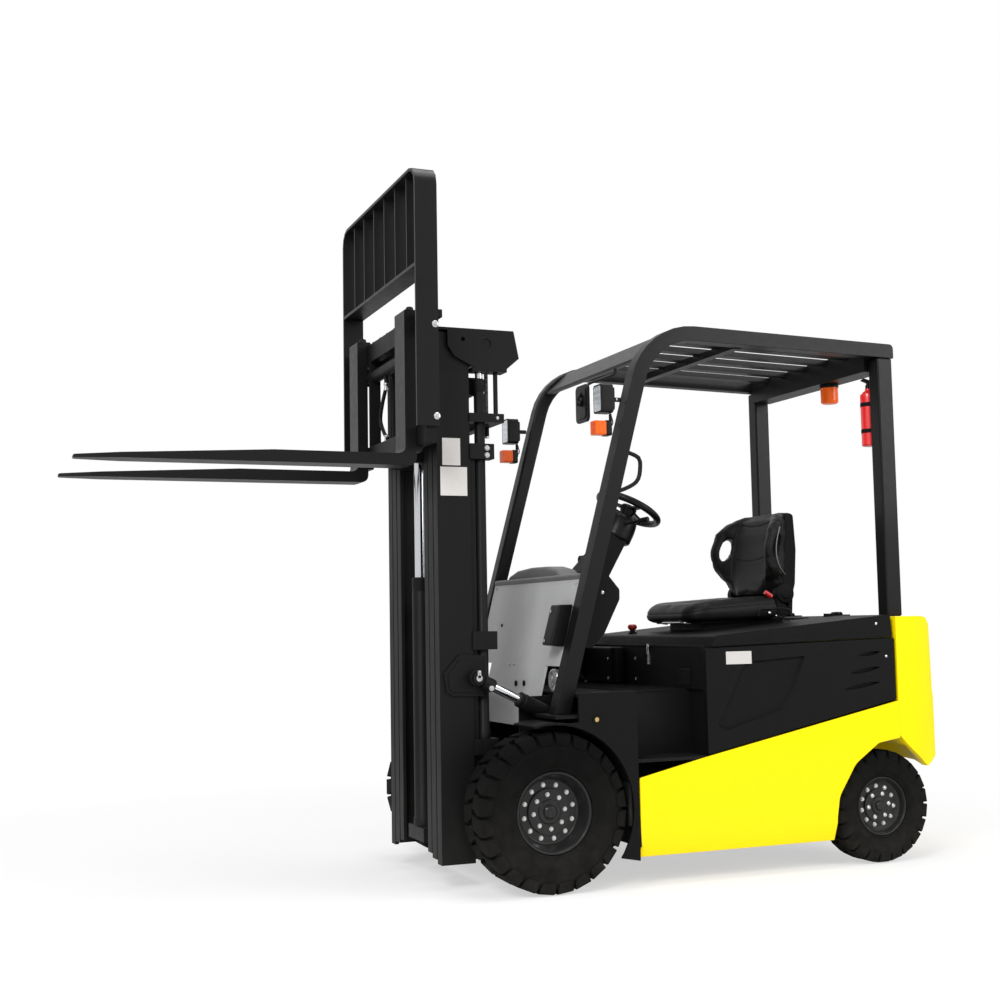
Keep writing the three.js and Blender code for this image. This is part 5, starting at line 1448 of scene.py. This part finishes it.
# %% Column shroud, direction lever, levers and display
shape = bmesh.new()
turned(shape,
       smoothed([(0, -0.15), (0.06, -0.15), (0.067, -0.12), (0.066, -0.08), (0.06, -0.052),
                 (0.045, -0.04), (0, -0.04)]), (0, 0, 0), "z", 36)
bmesh.ops.transform(shape, verts=shape.verts, matrix=at_wheel)
settle("column_shroud", shape, smooth_plastic, "chassis", edge=0.001)


def stalk(side, sign):
    shape = bmesh.new()
    root = at_wheel @ Vector((0.03, 0.03 * sign, -0.1))
    tip = at_wheel @ Vector((-0.03, 0.15 * sign, -0.048))
    pipe(shape, [root, tip], 0.0065, 12)
    pipe(shape, [tip - (tip - root).normalized() * 0.03, tip + (tip - root).normalized() * 0.012],
         0.0115, 16)
    settle("column_stalk_" + side, shape, smooth_plastic, "chassis", edge=0.0015)


beside(stalk)
shape = bmesh.new()
for index in range(4):
    y = (-188 + 34 * index) / 1000
    turned(shape,
           smoothed([(0, 1.2895), (0.009, 1.2885), (0.0155, 1.278), (0.0155, 1.262),
                     (0.0125, 1.252), (0, 1.2515)]), (AXLE_X - 0.489, y, 0), "z", 24)
    turned(shape, [(0, 1.164), (0.017, 1.164), (0.013, 1.172), (0.0135, 1.176), (0.0095, 1.184),
                   (0.0078, 1.2), (0, 1.2)], (AXLE_X - 0.4475, y, 0), "z", 20)
settle("lever_knobs", shape, smooth_plastic, "chassis", edge=0)
shape = bmesh.new()
slab(shape, [(-0.4, 1.1805), (-0.36, 1.205), (-0.27, 1.226), (-0.12, 1.234), (0.04, 1.232),
             (0.14, 1.215), (0.2, 1.1805)], "x", AXLE_X - 0.31, AXLE_X - 0.215)
settle("dash_binnacle", shape, dash_grey, "chassis", edge=0.014, segments=5)
shape = bmesh.new()
pipe(shape, [mm(-191, -446, 1178), mm(-191, 446, 1178)], 0.011, 16)
block(shape, mm(-196, -446, 1166), mm(-181, 446, 1180))
settle("dash_edge", shape, dash_grey, "chassis", edge=0.003)
shape = bmesh.new()
block(shape, mm(-349, 70, 1128), mm(-337, 220, 1176))
settle("dash_display", shape, lens, "chassis", edge=0.002)
fasten("dash_screws", [(-277, 449 * sign, 1113) for sign in (1, -1)],
       ["+y", "-y"], 15, "chassis", dome_screw)

# %% [markdown]
# ## Floor, pedals and the covers round the driver's feet
# The floor mat and the steps carry raised ribs, and two pedals hang above the mat.

# %% Ribs on the floor and on the steps
def rib_tool(name, half_length):
    shape = bmesh.new()
    block(shape, (-half_length, -0.004, 0), (half_length, 0.004, 0.0028))
    return tool_shape(name, shape)


rib, short_rib = rib_tool("mat_rib", 0.15), rib_tool("step_rib", 0.115)
floor_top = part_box("floor_plate")[1][2]
grow("floor_ribs", row_tree, mat_rubber, rib, "chassis", Count=28,
     Start=(AXLE_X - 0.5, -0.378, floor_top), Step=(0, 0.028, 0))
for side, sign in SIDES:
    grow("step_ribs_" + side, row_tree, mat_rubber, short_rib, "chassis", Count=6,
         Start=(AXLE_X - 0.49, 0.43 * sign, 0.4752), Step=(0, 0.024 * sign, 0))

# %% [markdown]
# Each pedal is a ribbed rubber pad on a bent arm. The pad is built flat at the origin, ribs
# included, and then tipped as one, which is simpler than placing tipped ribs.

# %% Pedals
PEDAL_TILT = math.radians(-38)
shape = bmesh.new()
for y, wide in ((-170, 0.05), (20, 0.075)):
    tilt = Matrix.Translation(mm(-330, y, 800)) @ Matrix.Rotation(PEDAL_TILT, 4, "Y")
    start = len(shape.verts)
    block(shape, (-0.055, -wide / 2, -0.006), (0.055, wide / 2, 0.006))
    for number in range(5):
        x = -0.042 + 0.02 * number
        block(shape, (x, -wide / 2 + 0.004, 0.0055), (x + 0.008, wide / 2 - 0.004, 0.0085))
    shape.verts.ensure_lookup_table()
    bmesh.ops.transform(shape, verts=shape.verts[start:], matrix=tilt)
    pipe(shape, rounded_path([mm(-325, y, 795), mm(-285, y, 820), mm(-250, y, 900)], 0.03), 0.008,
         12)
settle("pedals", shape, mat_rubber, "chassis", edge=0.0015)

# %% [markdown]
# The cover in front of the battery has a draw latch, a framed hand hole and bright screws. The red
# mushroom button on the hood cuts the battery off in an emergency.

# %% Latch, handle recess, screws and stop button on the battery cover
shape = bmesh.new()
slab(shape, rounded_face((0.372, 0.747), (0.448, 0.803), 0.008), "x", AXLE_X - 0.6522,
     AXLE_X - 0.6505)
settle("cover_handle_grip", shape, mat_rubber, "chassis", "black_plastic", edge=0.0006)
shape = bmesh.new()
block(shape, mm(-655.8, 98, 818), mm(-651, 116, 862))
pipe(shape,
     rounded_path([mm(-650, 101, 862), mm(-648, 101, 898), mm(-648, 113, 898), mm(-650, 113, 862)],
                  0.006), 0.0022, 10)
block(shape, mm(-655.8, 100, 896), mm(-648, 114, 903))
settle("cover_latch", shape, zinc, "chassis", edge=0.0008)
shape = bmesh.new()
slab(shape, rounded_face((0.368, 0.742), (0.452, 0.808), 0.01), "x", AXLE_X - 0.6559,
     AXLE_X - 0.652)
settle("cover_handle_frame", shape, smooth_plastic, "chassis", edge=0.0015)
fasten("cover_screws", [(-656, -18, 839), (-598, -168, 836), (-598, -168, 752), (-656, -18, 752)],
       "+x", 15, "chassis", dome_screw)
shape = bmesh.new()
turned(shape, [(0, 0.942), (0.021, 0.942), (0.021, 0.95), (0.012, 0.953), (0.012, 0.96), (0, 0.96)],
       mm(-780, -283, 0), "z", 28)
settle("stop_button_base", shape, smooth_plastic, "hood_and_seat", edge=0.0006)
shape = bmesh.new()
turned(shape,
       [(0, 0.96), (0.014, 0.96), (0.021, 0.969), (0.021, 0.978), (0.016, 0.984), (0, 0.9855)],
       mm(-780, -283, 0), "z", 32)
settle("stop_button", shape, red_plastic, "hood_and_seat", edge=0.001)

# %% [markdown]
# A relay box, screws, rubber grommets and the horn sit on the slanted grey panel. Its slope is a
# straight line, so one small function gives the panel's face at any height and every fitting stands
# on it.

# %% Boxes and fittings on the front panel
def fascia_x(z):
    return -38 - 0.2534 * (z - 590)


shape = bmesh.new()
corners = [(fascia_x(905) + 2, 905), (fascia_x(905) + 62, 913), (fascia_x(1068) + 60, 1068),
           (fascia_x(1068) + 2, 1068)]
slab(shape, mm_outline(corners), "y", 0.352, 0.436)
settle("relay_box", shape, smooth_plastic, "chassis", edge=0.006, segments=3)
fasten("relay_box_screws", [(fascia_x(z) + 61.5, 366, z) for z in (928, 1042)], "+x", 15, "chassis",
       dome_screw)
fasten("front_panel_screws",
       [(fascia_x(z) + 1.5, y, z) for y, z in ((-88, 827), (-34, 828), (420, 1150), (-420, 1150))],
       "+x", 11, "chassis", dome_screw)
shape = bmesh.new()
for y, z, radius in ((31, 752, 0.014), (114, 755, 0.014), (-262, 990, 0.008)):
    face = fascia_x(z) / 1000 + 0.0004
    rod(shape, radius, face, face + 0.0022, (AXLE_X, y / 1000, z / 1000), "x", 24)
settle("front_panel_grommets", shape, mat_rubber, "chassis", edge=0.0006)
shape = bmesh.new()
turned(shape,
       smoothed([(0, -0.118), (0.03, -0.118), (0.043, -0.11), (0.045, -0.098), (0.04, -0.092),
                 (0.02, -0.095), (0, -0.088)]), (AXLE_X, 0.37, 0.775), "x", 32)
settle("horn", shape, zinc, "chassis", edge=0.0005)
FENDER_FACE, plug = 0.5881, mm(-174, 0, 634)
shape = bmesh.new()
for sign in (1, -1):
    turned(shape, [(0.009, FENDER_FACE * sign), (0.019, FENDER_FACE * sign), (0.019, 0.5905 * sign),
                   (0.009, 0.5905 * sign)], plug, "y", 32)
settle("fender_plug_rings", shape, mat_rubber, "chassis", edge=0)
shape = bmesh.new()
for sign in (1, -1):
    turned(shape, [(0, FENDER_FACE * sign), (0.0088, FENDER_FACE * sign), (0.0088, 0.5893 * sign),
                   (0, 0.5897 * sign)], plug, "y", 24)
settle("fender_plugs", shape, brass, "chassis", edge=0)

# %% [markdown]
# These are plain mouldings that close gaps: a box beside the feet, a seal in front of the hood, a
# rubber flap behind each front wheel, and dark strips that hide the gap behind the mast's channels.

# %% Moulded box beside the driver's feet, hood seal and the flap behind each front wheel
shape = bmesh.new()
corners = [(-0.6555, -0.428), (-0.6555, -0.122), (-0.618, -0.124), (-0.6, -0.142), (-0.598, -0.428)]
slab(shape, [(AXLE_X + x, y) for x, y in corners], "z", 0.7285, 0.888)
settle("foot_side_box", shape, black_plastic, "chassis", edge=0.009, segments=4)
shape = bmesh.new()
block(shape, mm(-671, -545, 884), mm(-657, 545, 899))
settle("hood_front_seal", shape, mat_rubber, "chassis", edge=0.004, segments=3)


def wheel_flap(side, sign):
    shape = bmesh.new()
    low, high = sorted((0.36 * sign, 0.585 * sign))
    slab(shape,
         mm_outline([(-352, 150), (-346, 150), (-340, 300), (-322, 440), (-328, 442), (-346, 302)]),
         "y", low, high)
    settle("wheel_flap_" + side, shape, black_plastic, "chassis", edge=0.001)


beside(wheel_flap)
shape = bmesh.new()
for sign in (1, -1):
    low, high = sorted((276 * sign, 300 * sign))
    block(shape, mm(190, low, 230), mm(217, high, 1640))
settle("mast_rear_strips", shape, mast_paint, "outer_stage", edge=0.002)
print("cab pieces made")

# %% [markdown]
# ## Seat
# The seat back is a shell with two side wings that sweep forward, each with an oval hand hole. The
# cushion has round front corners and a raised rim. Both are made a little small and then blown up
# as cloth, so that they swell like foam under its cover. How far a point may move is capped, and
# seams are pressed in last.

# %% Blow up a pad
def table(rows, at):
    """Smooth value between the rows of a small table of (position, value)."""
    if at <= rows[0][0]:
        return rows[0][1]
    for (low, before), (high, after) in zip(rows, rows[1:]):
        if at <= high:
            share = (at - low) / (high - low)
            share = share * share * (3 - 2 * share)
            return before + (after - before) * share
    return rows[-1][1]


VOXEL, PRESSURE, STIFFNESS, SWELL_FRAMES = 0.006, 4.0, 12, 20


def blow_up(thing, cap):
    """Remesh evenly, let cloth pressure swell it, cap each point's travel and smooth it."""
    remesh = thing.modifiers.new("even", "REMESH")
    remesh.mode = "VOXEL"
    remesh.voxel_size = VOXEL
    soften(thing, 0)
    rest = [vertex.co.copy() for vertex in thing.data.vertices]
    cloth = thing.modifiers.new("swell", "CLOTH")
    cloth.settings.use_pressure = True
    cloth.settings.uniform_pressure_force = PRESSURE
    cloth.settings.effector_weights.gravity = 0
    cloth.settings.quality = 5
    cloth.settings.tension_stiffness = cloth.settings.compression_stiffness = STIFFNESS
    for frame_number in range(1, SWELL_FRAMES + 1):
        bpy.context.scene.frame_set(frame_number)
    swollen = thing.evaluated_get(bpy.context.evaluated_depsgraph_get())
    moved = [vertex.co.copy() for vertex in swollen.to_mesh().vertices]
    swollen.to_mesh_clear()
    thing.modifiers.remove(cloth)
    bpy.context.scene.frame_set(1)
    for vertex, start, end in zip(thing.data.vertices, rest, moved):
        travel = end - start
        if travel.length > cap:
            travel *= cap / travel.length
        vertex.co = start + travel
    shape = bmesh.new()
    shape.from_mesh(thing.data)
    for _ in range(3):
        bmesh.ops.smooth_vert(shape, verts=shape.verts, factor=0.5,
                              use_axis_x=True, use_axis_y=True, use_axis_z=True)
    shape.to_mesh(thing.data)
    shape.free()
    finer = thing.modifiers.new("finer", "SUBSURF")
    finer.levels = finer.render_levels = 1
    soften(thing, 0, angle=180)


def press_seam(thing, on_seam, depth=0.0035, width=0.005):
    """Press a groove into the cover where on_seam, a distance from the seam's line, is small."""
    normals = [vertex.normal.copy() for vertex in thing.data.vertices]
    for vertex, normal in zip(thing.data.vertices, normals):
        away = on_seam(vertex.co)
        if away < width:
            vertex.co -= normal * depth * (1 - (away / width) ** 2)


# %% [markdown]
# The back's section changes with its height, so four small tables give its half width and its front
# and rear faces, and rings between them are skinned. Carving it from a block would lose the sweep
# of the wings.

# %% Seat back
WING_FRONT = [(1.097, -1.236), (1.147, -1.222), (1.188, -1.192), (1.24, -1.168), (1.299, -1.16),
              (1.385, -1.184), (1.428, -1.222), (1.455, -1.26), (1.471, -1.295)]
CENTRE_FRONT = [(1.097, -1.212), (1.15, -1.222), (1.25, -1.24), (1.35, -1.258), (1.43, -1.276),
                (1.468, -1.296)]
SHELL_BACK = [(1.097, -1.292), (1.15, -1.312), (1.25, -1.33), (1.4, -1.336), (1.45, -1.33),
              (1.468, -1.318)]
HALF_WIDTH = [(1.097, 0.172), (1.15, 0.2), (1.22, 0.23), (1.3, 0.238), (1.37, 0.236), (1.42, 0.222),
              (1.45, 0.195), (1.468, 0.15)]


WING_DEPTH = 0.042


def back_sections():
    rings = []
    for level in range(27):
        z = 1.097 + 0.373 * (0.5 - 0.5 * math.cos(math.pi * level / 26))
        half, wing, middle, rear = (table(rows, z)
                                    for rows in (HALF_WIDTH, WING_FRONT, CENTRE_FRONT, SHELL_BACK))
        ring = []
        for step in range(25):
            y = half * math.sin(math.pi / 2 * (step / 12 - 1))
            out = min(max(0.0, (abs(y) / half - 0.5) / 0.42), 1.0)
            out = out * out * (3 - 2 * out)
            ring.append((AXLE_X + middle + (wing - middle) * out, y, z))
        for step in range(1, 24):
            y = half * math.cos(math.pi * step / 24)
            out = max(0.0, (abs(y) / half - 0.6) / 0.4) ** 1.6
            ring.append((AXLE_X + rear + (wing - WING_DEPTH - rear) * out, y, z))
        rings.append(ring)
    return rings


shape = bmesh.new()
loft(shape, back_sections(), flip=True)
pad = settle("seat_back_pad", shape, vinyl, None, edge=0)
holes = bmesh.new()
for sign in (1, -1):
    oval = []
    for step in range(28):
        angle = 2 * math.pi * step / 28
        along, across = 0.052 * math.sin(angle), 0.027 * math.cos(angle)
        oval.append((AXLE_X - 1.222 + across - 0.28 * along, 1.315 + along))
    low, high = sorted((0.15 * sign, 0.27 * sign))
    slab(holes, oval, "y", low, high)
carve(pad, settle("seat_holes", holes, vinyl, None, edge=0))
blow_up(pad, 0.008)
for height in (1.255, 1.41):
    press_seam(pad, lambda point, height=height: abs(point.z - height - 1.1 * point.y * point.y)
               if point.x > AXLE_X - 1.29 and abs(point.y) < 0.115 else 1.0)
press_seam(pad, lambda point: abs(abs(point.y) - 0.118 - 0.02 * math.sin((point.z - 1.1) * 9))
           if point.x > AXLE_X - 1.29 and 1.11 < point.z < 1.44 else 1.0, depth=0.0025)
mount(pad, carried_by["seat_back"], "seat_vinyl", "seat_back")

# %% [markdown]
# The cushion is a stack of rounded rings from its foot to its crown. The rings near the edge lie
# close together, which keeps the rim crisp after the cloth has swelled.

# %% Seat cushion
FRONT_CORNER, REAR_CORNER = 0.1, 0.03


def cushion_ring(inset, height, lift):
    """A ring round the cushion, at a small lift from its foot or its top."""
    points = []
    x0, x1, half = -1.226 + inset, -0.784 - inset, 0.243 - inset
    for cx, cy, radius, start in ((x1, half, FRONT_CORNER, 0), (x0, half, REAR_CORNER, 90),
                                  (x0, -half, REAR_CORNER, 180), (x1, -half, FRONT_CORNER, 270)):
        radius = max(radius - inset * 0.6, 0.008)
        px = cx - radius if start in (0, 270) else cx + radius
        py = cy - radius if cy > 0 else cy + radius
        for step in range(9):
            angle = math.radians(start + 90 * step / 8)
            x, y = px + radius * math.cos(angle), py + radius * math.sin(angle)
            points.append((AXLE_X + x, y, height(x) + lift))
    return points


def cushion_top(x):
    front = max(0.0, (x + 0.9) / 0.1)
    return 1.068 - 0.012 * min(front, 1.0) ** 2 + 0.028 * (-0.8 - x) / 0.43


def cushion_foot(x):
    return 0.993 + (-0.8 - x) * 0.0245


shape = bmesh.new()
loft(shape, [cushion_ring(*level) for level in [
    (0.016, cushion_foot, 0.001), (0.004, cushion_foot, 0.008), (0.0, cushion_foot, 0.03),
    (0.001, cushion_top, -0.034), (0.006, cushion_top, -0.016), (0.018, cushion_top, -0.0045),
    (0.036, cushion_top, 0.0), (0.07, cushion_top, -0.003), (0.12, cushion_top, -0.011)]],
     flip=True)
cushion = settle("seat_cushion_pad", shape, vinyl, None, edge=0)
blow_up(cushion, 0.007)
press_seam(cushion, lambda point: abs(point.z - cushion_top(point.x - AXLE_X) + 0.03)
           if point.z > 1.02 else 1.0, depth=0.0022)
press_seam(cushion, lambda point: abs(abs(point.y) - 0.135) if point.z > 1.04
           and point.x < AXLE_X - 0.86 else 1.0, depth=0.003)
mount(cushion, carried_by["seat_cushion"], "seat_vinyl", "seat_cushion")

# %% [markdown]
# Behind the pad sits a hard shell, and the frame carries hip loops, a recliner and a belt buckle.

# %% Seat shell and fittings
shape = bmesh.new()
slab(shape, [(AXLE_X + x, z) for x, z in [(-1.2905, 1.025), (-1.252, 1.06), (-1.262, 1.2),
                                          (-1.285, 1.38), (-1.296, 1.462), (-1.336, 1.455),
                                          (-1.345, 1.3), (-1.335, 1.15), (-1.302, 1.04)]], "y",
     -0.2, 0.2)
settle("seat_shell", shape, black_plastic, carried_by["seat_back"], edge=0.02, segments=5)


def seat_sides(side, sign):
    body = carried_by["seat_back"]
    shape = bmesh.new()
    turned(shape, [(0, 0.17 * sign), (0.046, 0.17 * sign), (0.046, 0.2 * sign),
                   (0.04, 0.208 * sign), (0.024, 0.2095 * sign), (0.022, 0.213 * sign),
                   (0, 0.213 * sign)], mm(-1275, 0, 1108), "y", 36)
    slab(shape, mm_outline([(-1310, 1016), (-1232, 1016), (-1236, 1108), (-1316, 1108)]), "y",
         *sorted((0.172 * sign, 0.2 * sign)))
    settle("recliner_cover_" + side, shape, black_plastic, body, edge=0.003)
    shape = bmesh.new()
    loop = [(-1112, 1012), (-1118, 1040), (-1236, 1044), (-1272, 1036), (-1274, 1014)]
    pipe(shape, rounded_path([mm(x, 238 * sign, z) for x, z in loop], 0.018), 0.0042, 10)
    settle("hip_loop_" + side, shape, smooth_plastic, body, edge=0)
    shape = bmesh.new()
    edge = [(-1238, 236, 1395), (-1216, 241, 1330), (-1214, 240, 1270), (-1240, 226, 1218),
            (-1300, 186, 1180), (-1326, 172, 1168)]
    pipe(shape, smoothed([mm(x, y * sign, z) for x, y, z in edge], 8), 0.0024, 8)
    settle("pocket_piping_" + side, shape, piping, body, edge=0)


beside(seat_sides)
fasten("seat_bolts", [(-1170, 239 * sign, 1024) for sign in (1, -1)],
       ["+y", "-y"], 13, carried_by["seat_back"], dome_screw)
shape = bmesh.new()
pipe(shape, [mm(-1206, 212, 1030), mm(-1196, 214, 1090)], 0.008, 12)
settle("buckle_strap", shape, smooth_plastic, carried_by["seat_back"], edge=0)
shape = bmesh.new()
pipe(shape, [mm(-1199, 213, 1094), mm(-1168, 211, 1114)], 0.0105, 14)
settle("belt_buckle", shape, red_plastic, carried_by["seat_back"], edge=0.002)

# %% [markdown]
# The seat runs fore and aft on two rails, and a bar under its front edge frees it. Both stay below
# the cushion, in the shadow gap, so a slab and a bent pipe are enough.

# %% Seat slides
shape = bmesh.new()
for sign in (1, -1):
    low, high = sorted((0.165 * sign, 0.2 * sign))
    slab(shape, mm_outline([(-1270, 1001), (-1270, 1009.5), (-860, 1000), (-860, 984)]), "y", low,
         high)
settle("seat_slides", shape, cast_iron, "hood_and_seat", "black_paint", edge=0.001)
shape = bmesh.new()
bar = [(-838, -60, 985), (-812, -60, 988), (-806, -40, 990), (-806, 120, 990), (-812, 140, 988),
       (-838, 140, 985)]
pipe(shape, rounded_path([mm(*spot) for spot in bar], 0.014), 0.005, 12)
settle("seat_slide_bar", shape, zinc, "hood_and_seat", edge=0)
print("seat made")

# %% [markdown]
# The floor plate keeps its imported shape, as its ribs are pieces of their own, and only takes the
# mat's rubber.

# %% The floor plate
floor_plate = frame["nodes"]["floor_plate"].data
floor_plate.materials.clear()
floor_plate.materials.append(mat_rubber)
print("floor plate", len(floor_plate.polygons), "faces")

# %% [markdown]
# What the trees copied must not be exported, so the tools are removed.

# %% Put the tools away and finish
for tool in tools:
    bpy.data.objects.remove(tool)
